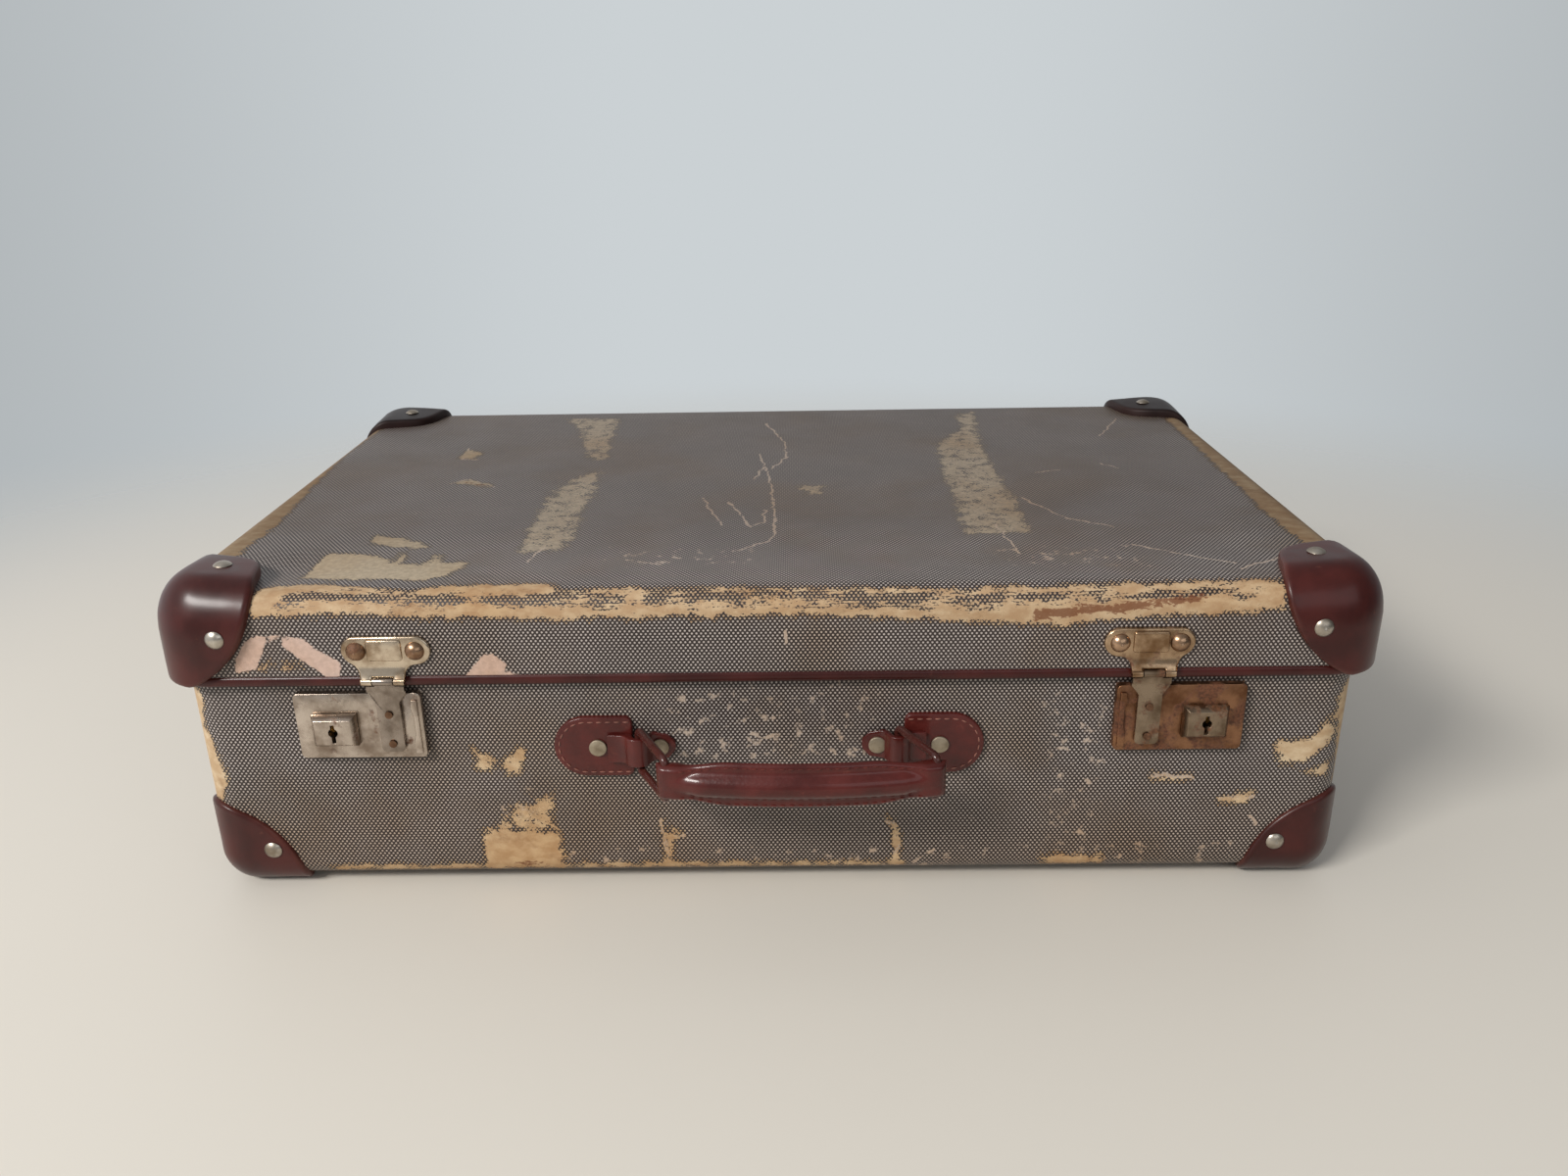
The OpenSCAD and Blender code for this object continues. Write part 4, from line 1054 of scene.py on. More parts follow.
@dataclass
class Lid:
    """The telescoping lid: board, printed paper, lining and the binding round its rim."""

    over: float = CASE.lid_over
    panel: Point2 = (266.0, 172.0)
    # Painted shade: the lid's top and back are darkened against its front
    aged: Colour = (0.76, 0.74, 0.72)
    ageing: Point2 = (-172.0, -70.0)
    paper_grid: float = 4.0
    inner_grid: float = 9.0
    panel_depth: float = 2.0
    sag_half: Point2 = (262.0, 158.0)
    sag_least: float = 0.5
    sag_wave: float = 1.1
    sag_run: Point2 = (83.0, 61.0)
    sag_phase: Point2 = (0.7, -0.4)
    dent_at: Point2 = (-243.0, -146.0)
    dent_half: Point2 = (26.0, 22.0)
    dent_depth: float = 3.4
    scratches: Lines = (
        ((-7, 142), (7, 88), (8, 50), (-1, 26)), ((-10, 62), (-5, 31), (0, -15), (1, -41)),
        ((-11, 3), (-6, 31)), ((1, -45), (3, -80), (2, -115), (-14, -127)),
        ((-24, -44), (-10, -90), (-3, -83), (-3, -60)), ((-41, -35), (-26, -86)),
        ((145, -43), (163, -82), (185, -99)), ((188, -128), (211, -145), (230, -158)),
        ((230, -166), (254, -152)), ((123, -92), (128, -139)), ((-118, -120), (-121, -143)),
        ((-71, -141), (-53, -150)), ((-207, 83), (-205, 55), (-194, 55)),
        ((-198, -1), (-189, 8), (-168, -9)), ((162, 9), (177, 13)), ((206, 25), (215, 15)),
        ((244, 140), (222, 93)), ((9, -204), (10, -210)),
    )

    def torn(self) -> list[Patch]:
        """Places where the paper has come off the board.

        Returns:
            The patches.
        """
        bare = Wear.BARE
        return [
            Patch(bare, ((-231, -157), (-232, -139), (-230, -125), (-214, -125), (-201, -131),
                  (-192, -141), (-190, -125), (-187, -129), (-186, -143), (-174, -146), (-171, -128),
                  (-168, -129), (-166, -142), (-157, -141), (-151, -144), (-153, -151), (-157, -162),
                  (-168, -168), (-190, -165), (-212, -166)), 0.6),
            Patch(bare, ((-214, -104), (-212, -97), (-200, -102), (-184, -110), (-179, -116),
                  (-185, -119), (-199, -116), (-208, -113)), 0.6),
            strip(bare, ((-275, -140), (-272, -79), (-280, -1), (-285, 71), (-283, 140)),
                  ((-300, -150), (-299, 0), (-300, 150)), -1.0),
            strip(bare, ((273, -140), (270, -72), (273, -19), (275, 58), (276, 140)),
                  ((299, -150), (298, 0), (299, 150)), -1.5),
            strip(bare, ((-245, -177), (-239, -170), (-218, -171), (-189, -177), (-170, -181), (-157, -176),
                         (-127, -175), (-108, -174), (-95, -181), (-38, -180), (102, -183), (246, -179)),
                  ((-246, -193), (-201, -192), (-169, -194), (-111, -196), (9, -195), (74, -198),
                   (139, -202), (171, -199), (245, -195)), 0.4),
            strip(bare, ((-240, 180), (0, 184), (240, 180)), ((-240, 192), (0, 191), (240, 193)), -2.5),
        ]

    def chafed(self) -> list[Patch]:
        """Places where the print is rubbed, kept in shreds, stained, or under the remains of labels.

        Returns:
            The patches.
        """
        rubbed, kept, label = Wear.RUBBED, Wear.REMAINS, Wear.LABEL
        return [
            strip(rubbed, ((-154, 163), (-144, 143), (-134, 112), (-129, 86), (-120, 55)),
                  ((-116, 160), (-114, 124), (-112, 86), (-110, 54), (-114, 51)), 0.5),
            strip(rubbed, ((-121, 12), (-129, -8), (-133, -45), (-132, -79), (-131, -105), (-129, -129)),
                  ((-110, 29), (-105, -22), (-107, -58), (-105, -85), (-105, -106), (-108, -125)), -0.5),
            strip(rubbed, ((130, 159), (131, 121), (109, 82), (105, 7), (106, -45), (105, -76), (105, -108)),
                  ((146, 165), (140, 97), (139, 44), (140, -13), (142, -47), (142, -78), (141, -106)), -0.5),
            Patch(rubbed, ((13, -11), (33, -12), (31, -23), (24, -38), (19, -22)), -1.0),
            strip(kept, ((-60, -178), (30, -181), (115, -183)), ((-60, -191), (30, -192), (115, -194)), -2.5),
            strip(kept, ((-235, -176), (-62, -180)), ((-235, -190), (-62, -193)), -3.8),
            strip(kept, ((115, -182), (240, -180)), ((115, -194), (240, -192)), -4.6),
            strip(Wear.STAIN, ((126, -194), (170, -190), (210, -187)),
                  ((126, -200), (170, -195.5), (210, -190)), -0.6),
            Patch(label, ((-258, -217), (-253, -208), (-246, -202), (-238, -203), (-248, -221),
                  (-258, -222)), -0.3),
            Patch(label, ((-238, -203), (-222, -205), (-218, -210), (-206, -218), (-208, -224),
                  (-213, -225), (-226, -214), (-234, -206)), 0.6),
            Patch(label, ((-134, -211), (-120, -225), (-148, -226)), -0.3),
            strip(Wear.BARE, ((-256, -217.0), (-224, -216.5)), ((-256, -220.5), (-224, -220.0)), -0.3),
            Patch(Wear.BARE, ((-208, 84), (-193, 70), (-196, 54), (-210, 56)), -1.0),
            Patch(Wear.BARE, ((-201, -2), (-189, 9), (-168, -5), (-172, -11)), -1.2),
            Patch(Wear.STAIN, ((-201, -2), (-189, 9), (-168, -5), (-172, -11)), -4.5),
            spot(Wear.FLECKS, -88, -158, 5, -116),
            spot(Wear.FLECKS, 108, -168, 196, -120),
        ]

    def sag(self, x: float, y: float) -> float:
        """How far the old board has sunk: soft waves all over, and a dent next to the left front cap.

        Args:
            x: Place across the panel, from its middle.
            y: Place along its depth.

        Returns:
            The shift, downwards negative.
        """
        half_w, half_d = self.sag_half
        fade = max(0.0, 1 - (abs(x) / half_w) ** 4) * max(0.0, 1 - (abs(y) / half_d) ** 4)
        turns = [at / run + phase for at, run, phase in zip((x, y), self.sag_run, self.sag_phase)]
        wave = 0.5 + 0.5 * math.sin(turns[0]) * math.cos(turns[1])
        off_x = (x - self.dent_at[0]) / self.dent_half[0]
        off_y = (y - self.dent_at[1]) / self.dent_half[1]
        dent = math.exp(-off_x ** 2 - off_y ** 2)
        return -fade * (self.sag_least + self.sag_wave * wave) - self.dent_depth * dent

    def skin(self, inset: float) -> PaperShell:
        """The shell of one layer of the lid.

        Args:
            inset: Distance from the outside of the lid.

        Returns:
            The shell.
        """
        grow = 2 * (self.over - inset)
        height = CASE.z_top - CASE.z_rim - inset - CASE.binding_t
        grid = self.paper_grid if inset == 0 else self.inner_grid
        return PaperShell(CASE.width + grow, CASE.depth + grow, height, CASE.corner_r + self.over - inset,
                          CASE.edge_r - inset, grid)

    def layer(self, name: str, inset: float, thickness: float, finish: Finish, slot: str) -> None:
        """Builds one layer of the lid.

        Args:
            name: Name of the layer's node.
            inset: Distance from the outside of the lid.
            thickness: Its thickness.
            finish: Its finish.
            slot: Not used.
        """
        shell = self.skin(inset)
        bm = shell.build()
        places = np.array([shell.unrolled(loop.vert.co) for f in bm.faces for loop in f.loops])
        for v in bm.verts:
            if v.co.z > -self.panel_depth:
                v.co.z += self.sag(v.co.x, v.co.y)
        bmesh.ops.translate(bm, verts=bm.verts, vec=(0, CASE.mid_y, CASE.z_top - inset))
        piece = settle(bm, name + "_shell", finish, "lid", (name,))
        if isinstance(finish, CoverPaper):
            dress_paper(piece, places, self.torn() + self.chafed())
        thicken(piece, thickness)

    def binding(self) -> None:
        """Builds the strip folded round the rim."""
        low = CASE.z_rim
        section = ((0.95, low + 7), (0.95, low + 0.5), (1.4, low + 0.05), (4.6, low), (5.3, low + 0.3),
                   (5.75, low + 1.2), (5.85, low + 2.5), (5.7, low + 3.8), (5.25, low + 4.7),
                   (4.75, low + 5.0), (4.75, low + 1.0), (1.45, low + 1.0), (1.4, low + 7))
        bm = bmesh.new()
        wall = CASE.depth / 2
        edges = chain(bm, [(CASE.width / 2 - CASE.corner_r, -wall - out, z) for out, z in section], True)
        plan_sweep(bm, CASE.width, CASE.depth, CASE.corner_r, edges)
        bmesh.ops.translate(bm, verts=bm.verts, vec=(0, CASE.mid_y, 0))
        settle(bm, "lid_binding_strip", BINDING, "lid", ("lid_binding",), 60.0)

    def build(self) -> None:
        """Builds the lid's layers and its binding."""
        paper = CoverPaper("lid_paper_finish", self.scratches, self.panel, self.aged, self.ageing)
        self.layer("lid_cover", 0.0, CASE.cover_t, paper, "covering_paper")
        self.layer("lid_tray", CASE.cover_t, CASE.board_t, BOARD, "pressed_board")
        self.layer("lid_lining", CASE.cover_t + CASE.board_t, CASE.lining_t, LINING, "lining_paper")
        self.binding()


@dataclass
class Base:
    """The base: its printed paper, and the finishes of the trays inside it."""

    bottom_shift: float = -420.0
    lock_hole: tuple[float, float, float, float] = (190.0, 228.0, 86.0, 108.0)
    paper_grid: float = 4.0
    board: Colour = srgb(180, 152, 118)
    pale_board: Colour = srgb(202, 180, 148)
    score_w: float = 1.0
    scratches: Lines = (
        ((-56, 39), (-55, 29), (-53, 12)), ((-55, 29), (-45, 31)), ((65, 30), (64, 19), (63, 11)),
        ((58, 40), (64, 35)), ((75, 13), (83, 20)), ((2, 87), (-8, 90)), ((244, 38), (247, 34)),
        ((228, 49), (245, 50)), ((192, 62), (212, 62)),
    )

    def patches(self) -> list[Patch]:
        """The worn places of the base, round its walls: distance from the front's middle, and height.

        Returns:
            The patches.
        """
        bare = Wear.BARE
        return [
            Patch(bare, ((-148, 35), (-108, 33), (-109, 10), (-150, 9)), 0.6),
            Patch(Wear.RUBBED, ((-131, 52), (-109, 58), (-110, 32), (-148, 32)), -2.6),
            spot(Wear.FLECKS, -151, 34, -112, 64),
            Patch(bare, ((-121, 52), (-109, 54), (-109, 34), (-120, 35)), -1.5),
            Patch(bare, ((-150, 83), (-143, 80), (-138, 76), (-141, 69), (-148, 68), (-146, 75)), 0.4),
            Patch(bare, ((-123, 83), (-130, 79), (-136, 73), (-131, 66), (-126, 69), (-122, 76)), 0.4),
            strip(bare, ((-230, 13.2), (-60, 13.0), (60, 13.0)), ((-230, 9.0), (60, 9.0)), 0.8),
            strip(bare, ((-250, 6), (250, 6)), ((-250, -4), (250, -4)), -2.0),
            spot(bare, 139, 8, 172, 17, -0.2),
            Patch(bare, ((252, 78), (254, 82), (270, 83), (274, 91), (278, 95), (282, 84), (274, 75),
                  (267, 70), (256, 69), (253, 72)), 0.4),
            Patch(bare, ((268, 64), (275, 68), (283, 70), (283, 61), (273, 61)), -0.4),
            Patch(bare, ((-284, 118), (-279, 106), (-284, 96), (-279, 85), (-275, 70), (-276, 60),
                  (-282, 50), (-297, 50), (-297, 118)), -0.5),
            Patch(bare, ((278, 104), (285, 114), (297, 114), (297, 56), (288, 54), (286, 70)), -1.5),
            Patch(bare, ((-57, 40), (-54, 39), (-53, 31), (-46, 33), (-45, 30), (-51, 26), (-50, 11),
                  (-56, 9), (-56, 26)), 0.3),
            Patch(bare, ((57, 41), (60, 41), (66, 33), (67, 16), (69, 9), (61, 9), (63, 22), (62, 33)), 0.2),
            Patch(bare, ((227, 49), (236, 52.5), (246, 52), (241, 46.5), (231, 46.5)), 0.9),
            Patch(bare, ((192, 63.5), (213, 63.5), (213, 60.5), (192, 60.5)), 0.6),
            spot(Wear.FLECKS, -58, 62, 66, 122),
            spot(Wear.FLECKS, 128, 10, 176, 118),
            spot(Wear.FLECKS, 118, -6, 250, 32),
            spot(Wear.FLECKS, -120, -4, 120, 30),
            Patch(Wear.STAIN, ((-146, 9), (-112, 9), (-116, 20), (-144, 16)), -4.0),
        ]

    def perimeter(self, at: Vector, shell: PaperShell) -> float:
        """Distance round the walls from the front's middle, positive to the right.

        Args:
            at: A point of the shell, centred on the origin.
            shell: The shell.

        Returns:
            The distance.
        """
        half_w, half_d, r = shell.width / 2 - shell.corner_r, shell.depth / 2 - shell.corner_r, shell.corner_r
        x = abs(at.x)
        if at.y < -half_d and x <= half_w:
            run = x
        elif x > half_w and at.y < -half_d:
            run = half_w + r * math.atan2(x - half_w, -half_d - at.y)
        elif x > half_w and at.y <= half_d:
            run = half_w + r * math.pi / 2 + at.y + half_d
        elif x > half_w:
            run = half_w + r * math.pi / 2 + 2 * half_d + r * math.atan2(at.y - half_d, x - half_w)
        else:
            run = half_w + r * math.pi + 2 * half_d + half_w - x
        return math.copysign(run, at.x)

    def height(self, down: float) -> float:
        """Height on the unrolled paper, which runs on round the bottom edge.

        Args:
            down: Distance from the bottom panel.

        Returns:
            The height.
        """
        r = CASE.edge_r
        if down >= r:
            return CASE.z_bottom + down
        return CASE.z_bottom + r - r * (math.pi / 2 - math.acos(max(-1.0, min(1.0, 1 - down / r))))

    def cover(self) -> None:
        """Builds the printed paper of the base, open behind the locks."""
        wall = CASE.z_base_top - CASE.z_bottom
        shell = PaperShell(CASE.width, CASE.depth, wall, CASE.corner_r, CASE.edge_r, self.paper_grid)
        bm = shell.build()
        u0, u1, z0, z1 = self.lock_hole
        hidden = [f for f in bm.faces if f.normal.y < -0.99 and u0 < abs(f.calc_center_median().x) < u1
                  and z0 < CASE.z_bottom - f.calc_center_median().z < z1]
        bmesh.ops.delete(bm, geom=hidden, context="FACES")
        places = []
        for face in bm.faces:
            middle = face.calc_center_median()
            flat = face.normal.z > 0.995
            for loop in face.loops:
                at = loop.vert.co
                if flat:
                    places.append((at.x, at.y + self.bottom_shift))
                    continue
                run = self.perimeter(at, shell)
                if run * middle.x < 0 and abs(run) > CASE.width / 2:
                    run = -run
                places.append((run, self.height(-at.z)))
        bmesh.ops.scale(bm, verts=bm.verts, vec=(1, 1, -1))
        uv_order = [[loop.vert.index for loop in f.loops] for f in bm.faces]
        bmesh.ops.reverse_faces(bm, faces=bm.faces)
        bmesh.ops.translate(bm, verts=bm.verts, vec=(0, CASE.mid_y, CASE.z_bottom))
        held = iter(places)
        placed = [{vert: next(held) for vert in verts} for verts in uv_order]
        order = np.array([known[loop.vert.index] for known, f in zip(placed, bm.faces) for loop in f.loops])
        LOG.info("base paper: %d faces behind the locks left out", len(hidden))
        paper = CoverPaper("base_paper_finish", self.scratches, board=self.board, pale=self.pale_board,
                           score_w=self.score_w)
        piece = settle(bm, "base_cover_shell", paper, "base", ("base_cover",))
        dress_paper(piece, order, self.patches())
        thicken(piece, CASE.cover_t)

    def build(self) -> None:
        """Builds the paper and dresses the CAD nodes inside the base."""
        self.cover()
        for node, finish in (("base_tray", BOARD), ("base_lining", LINING), ("front_batten", BATTEN)):
            dress_node(node, finish)


def dress_node(node: str, finish: Finish) -> None:
    """Gives a CAD node that stays a finish.

    Args:
        node: Name of the node.
        finish: The finish.
    """
    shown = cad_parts[node]
    if not shown.material_slots:
        shown.data.materials.append(finish.material())
    for place in shown.material_slots:
        place.material = finish.material()
    LOG.info("%s: dressed as %s", node, finish.name)


@dataclass
class CornerCap:
    """A pressed fibre cap, spun as a disc with a rolled rim and wrapped over a corner of the case."""

    side: Side
    back: bool
    lid: bool
    spokes: int = 72
    thickness: float = CASE.cap_t
    middle: Point3 = (-0.7, -0.7, -0.7)
    base_reach: float = 51.5
    lid_reach: float = 54.0
    rim_gap: float = 0.8
    square: float = 0.13
    square_turn: float = 0.5
    swell: float = 3.4
    swell_reach: float = 62.0
    lid_tuck: float = 3.0
    lid_tuck_depth: float = 24.0
    base_tuck: float = 2.7
    dents: float = 0.25
    dent_size: float = 17.0
    inwards: Vector = field(default_factory=lambda: Vector((-1, -1, -1)).normalized())
    limits: dict[float, float] = field(default_factory=dict)

    @property
    def name(self) -> str:
        """Name of the cap's CAD node."""
        return f"{'lid' if self.lid else 'base'}_cap_{'back' if self.back else 'front'}_{self.side.word}"

    @property
    def reach(self) -> float:
        """Radius of the ball that trims the cap."""
        return self.lid_reach if self.lid else self.base_reach

    @property
    def plan_r(self) -> float:
        """Plan radius of the cap's outside."""
        return CASE.corner_r + (CASE.lid_over if self.lid else 0.0) + CASE.cap_t

    def level(self, at: Vector) -> float:
        """Distance of a point from the cap's outside, negative within it.

        Args:
            at: The point, with the corner's tip at the origin and the case towards -X, -Y and -Z.

        Returns:
            The distance.
        """
        dx, dy = at.x + self.plan_r, at.y + self.plan_r
        plan = math.hypot(dx, dy) - self.plan_r if dx > 0 and dy > 0 else max(at.x, at.y)
        a, b = plan + CASE.cap_edge_r, at.z + CASE.cap_edge_r
        return math.hypot(a, b) - CASE.cap_edge_r if a > 0 and b > 0 else max(plan, at.z)

    def normal(self, at: Vector) -> Vector:
        """Direction out of the cap's surface.

        Args:
            at: A point near the surface.

        Returns:
            The direction.
        """
        small = 0.05
        steps = (Vector((small, 0, 0)), Vector((0, small, 0)), Vector((0, 0, small)))
        return Vector([self.level(at + d) - self.level(at - d) for d in steps]).normalized()

    def on_ball(self, radius: float, turn: float) -> Vector:
        """Where a ball round the corner's middle meets the cap's outside.

        Args:
            radius: Radius of the ball.
            turn: Angle round the cap's middle.

        Returns:
            The point.
        """
        across = Vector((1, -1, 0)).normalized()
        sideways = across * math.cos(turn) + self.inwards.cross(across) * math.sin(turn)
        low, high = 0.0, math.pi
        for _ in range(36):
            tilt = (low + high) / 2
            ray = self.inwards * math.cos(tilt) + sideways * math.sin(tilt)
            at = Vector(self.middle) + radius * ray
            low, high = (tilt, high) if self.level(at) < 0 else (low, tilt)
        return at

    def nearest(self) -> float:
        """Finds how near the corner's middle the cap's outside comes.

        Returns:
            The distance.
        """
        reach = 0.0
        while self.level(Vector(self.middle) + self.inwards * reach) > 0:
            reach += 0.05
        return reach

    def limit(self, turn: float, nearest: float) -> float:
        """Radius of the ball at the cap's rim: squarer on top of the lid, and ending above the lid's rim.

        Args:
            turn: Angle round the cap's middle.
            nearest: Smallest radius on the cap.

        Returns:
            The radius.
        """
        key = round(turn, 4)
        if key not in self.limits:
            lowest = -(CASE.z_top - CASE.z_rim + CASE.cap_t - self.rim_gap) if self.lid else -math.inf
            found = self.reach
            if self.lid:
                found *= 1 + self.square * math.exp(-((turn - math.pi / 2) / self.square_turn) ** 2)
            if self.on_ball(found, turn).z < lowest:
                low, high = nearest + 1.0, found
                for _ in range(24):
                    found = (low + high) / 2
                    low, high = (found, high) if self.on_ball(found, turn).z > lowest else (low, found)
            self.limits[key] = found
        return self.limits[key]

    def fullness(self, out: Vector, way: Vector) -> Vector:
        """How far the pressing stands off the plain form: high on top of the lid, tight round the base.

        Args:
            out: A point of the plain form, from the corner's tip.
            way: Direction out of it.

        Returns:
            The shift.
        """
        flat = Vector((way.x, way.y, 0.0))
        if not self.lid:
            return flat * -self.base_tuck
        near = max(0.0, 1 - (out.x ** 2 + out.y ** 2) / self.swell_reach ** 2)
        tucked = flat * (-self.lid_tuck * max(0.0, 1 + out.z / self.lid_tuck_depth))
        return tucked + Vector((0.0, 0.0, self.swell * near * max(0.0, way.z)))

    def build(self) -> None:
        """Builds the cap."""
        t = self.thickness
        section = [(i / 16, 0.0) for i in range(16)]
        section += [(0.95, 0.0), (0.972, 0.15), (0.986, 0.5), (0.995, 1.05), (1.0, 1.8)]
        section += [(share, t) for share in (1.0, 0.85, 0.5, 0.0)]
        bm = bmesh.new()
        edges = chain(bm, [(share, 0.0, sink) for share, sink in section])
        bmesh.ops.spin(bm, geom=bm.verts[:] + edges, cent=(0, 0, 0), axis=(0, 0, 1), angle=2 * math.pi,
                       steps=self.spokes, use_merge=True)
        bmesh.ops.remove_doubles(bm, verts=bm.verts, dist=1e-4)
        rim = bm.verts.layers.float.new("rim")
        over = CASE.cap_t + (CASE.lid_over if self.lid else 0.0)
        half_w, half_d = CASE.width / 2 + over, CASE.depth / 2 + over
        sx, sy = self.side.value, 1 if self.back else -1
        own_dents = Vector((0.0, 0.0, 3.0 * sx + 5.0 * sy))
        nearest = self.nearest()
        for v in bm.verts:
            share, turn = math.hypot(v.co.x, v.co.y), math.atan2(v.co.y, v.co.x)
            limit = self.limit(turn, nearest)
            radius = math.sqrt(nearest ** 2 + (limit ** 2 - nearest ** 2) * share ** 2) + 1e-4
            out = self.on_ball(radius, turn)
            v[rim] = share
            way = self.normal(out)
            bent = noise.noise(out / self.dent_size + own_dents) * self.dents
            at = out - way * (v.co.z + abs(bent))
            if v.co.z < t:
                at += self.fullness(out, way)
            z = CASE.z_top + CASE.cap_t + at.z if self.lid else -at.z
            v.co = (sx * (half_w + at.x), CASE.mid_y + sy * (half_d + at.y), z)
        bmesh.ops.recalc_face_normals(bm, faces=bm.faces)
        # The back caps take the fibre darkened with painted shade
        finish = SHADED_BACK_FIBRE if self.back else CAP_FIBRE
        body = "lid" if self.lid else "base"
        settle(bm, self.name + "_shell", finish, body, (self.name,))


def raised_panel(name: str, outline: Sequence[Point2], front: float, rise: float, round_r: float, ease: float,
                 finish: Finish, body: str, stands_for: Sequence[str] = ()) -> None:
    """Builds a small pressed form that stands on the front of the case.

    Args:
        name: Name of the piece.
        outline: Its outline in X and Z.
        front: Distance of its back from the front wall.
        rise: How far it stands out.
        round_r: Rounding of its corners.
        ease: Rounding of its front edge.
        finish: Its finish.
        body: The body that it rides on.
        stands_for: CAD nodes that it replaces.
    """
    bm = bmesh.new()
    y = CASE.front_y - front
    chain(bm, [(x, y, z) for x, z in outline], True)
    if round_r:
        bmesh.ops.bevel(bm, geom=bm.verts[:], offset=round_r, offset_type="OFFSET", segments=4, profile=0.5,
                        affect="VERTICES", material=-1)
    raise_plate(bm, (0, -rise, 0))
    top = [e for e in bm.edges if all(abs(v.co.y - y + rise) < NEAR for v in e.verts)]
    round_edges(bm, top, ease, 3)
    settle(bm, name, finish, body, stands_for)


@dataclass
class HaspLock:
    """One lock: plate, button, case and slide on the base, bracket and tongue on the lid."""

    side: Side
    tongue_x: float = 185.5
    bracket_x: float = 183.0
    bracket_up: float = 19.0
    bracket_half: float = 14.2
    bracket_r: float = 7.5
    sheet_t: float = 2.0
    rim_ease: float = 1.1
    bend_up: float = 12.5
    bend_power: float = 1.8
    bend_rows: int = 11
    bend_row: float = 0.8
    neck_slim: float = 0.8
    neck_fade: float = 4.5
    panel_shift: float = 0.5
    panel_half: float = 8.6
    panel_low: float = -5.0
    panel_high: float = 6.0
    sunk: float = 0.1
    hasp_up: float = 3.5
    hasp_v: float = 8.0
    hasp_r: float = 2.0
    gap_half: float = 5.2
    gap_up: float = 5.9
    knuckle_off: float = 7.9
    knuckle_w: float = 5.0
    knuckle_low: float = 5.0
    skin_t: float = 0.65
    plate_in: float = 170.0
    plate_top: float = CASE.z_rim - 4.5
    plate_h: float = 35.5
    plate_t: float = 4.5

    @property
    def plate_finish(self) -> Finish:
        """Finish of the plate: the right one has rusted more."""
        return RUSTED if self.side is Side.RIGHT else PALE_NICKEL

    @property
    def bracket_finish(self) -> Finish:
        """Finish of the bracket: the right one has gone brown."""
        return BROWN_NICKEL if self.side is Side.RIGHT else WARM_NICKEL

    def bracket_outline(self) -> list[Point2]:
        """Outline of the bracket's sheet: a strap with round ends, and a neck cut out for the tongue.

        Returns:
            The points, across from the bracket's middle and up from the lid's rim.
        """
        r, half, up = self.bracket_r, self.bracket_half, self.bracket_up
        turns = [math.radians(a) for a in range(-55, 91, 15)]
        right = [(half + r * math.cos(a), up + r * math.sin(a)) for a in turns]
        turns = [math.radians(a) for a in range(90, 271, 15)]
        left = [(-half + r * math.cos(a), up + r * math.sin(a)) for a in turns]
        shift, low = self.tongue_x - self.bracket_x, self.hasp_up
        neck_left = [(-13.5, 11.5), (-11.2, 10.9), (-9.6, 9.6), (-8.7, 7.8), (-8.3, 5.4), (-8.2, low)]
        start, end = shift - self.gap_half, shift + self.gap_half
        gap = [(start, low), (start, self.gap_up), (end, self.gap_up), (end, low)]
        neck_right = [(13.2, low), (13.3, 5.4), (13.7, 7.8), (14.6, 9.6), (16.0, 11.2)]
        return right + left + neck_left + gap + neck_right

    def stand(self, up: float) -> float:
        """Distance of the bracket's outside from the front wall.

        Args:
            up: Height above the rim.

        Returns:
            The distance.
        """
        flat = CASE.lid_over + self.sheet_t
        share = unit((self.bend_up - up) / (self.bend_up - self.hasp_up))
        return flat + (self.hasp_v + self.hasp_r - flat) * share ** self.bend_power

    def bracket(self) -> None:
        """Builds the bracket, bent out over the binding to its knuckles."""
        s = self.side.value
        bm = bmesh.new()
        chain(bm, [(x, self.sheet_t, z) for x, z in self.bracket_outline()], True)
        raise_plate(bm, (0, -self.sheet_t, 0))
        rim = [e for e in bm.edges if e.calc_face_angle(0.0) > 1.0
               and all(abs(v.co.y) < NEAR for v in e.verts)]
        round_edges(bm, rim, self.rim_ease, 4)
        for i in range(1, self.bend_rows + 1):
            bmesh.ops.bisect_plane(bm, geom=bm.verts[:] + bm.edges[:] + bm.faces[:],
                                   plane_co=(0, 0, self.hasp_up + self.bend_row * i), plane_no=(0, 0, 1))
        for v in bm.verts:
            slim = unit((self.bend_up - v.co.z) / self.neck_fade) if v.co.y > self.sheet_t / 2 else 0.0
            v.co.y -= self.stand(v.co.z) + self.neck_slim * slim
        shift = self.tongue_x - self.bracket_x
        for middle in (shift - self.knuckle_off, shift + self.knuckle_off):
            at = Matrix.Translation((middle, -self.hasp_v, self.hasp_up))
            bmesh.ops.create_cone(bm, cap_ends=True, segments=24, radius1=self.hasp_r, radius2=self.hasp_r,
                                  depth=self.knuckle_w, matrix=at @ Matrix.Rotation(math.pi / 2, 4, "Y"))
        for v in bm.verts:
            v.co = (s * (self.bracket_x + v.co.x), CASE.front_y + v.co.y, CASE.z_rim + v.co.z)
        bmesh.ops.recalc_face_normals(bm, faces=bm.faces)
        node = f"hasp_bracket_{self.side.word}"
        settle(bm, node + "_pressed", self.bracket_finish, "lid", (node,))

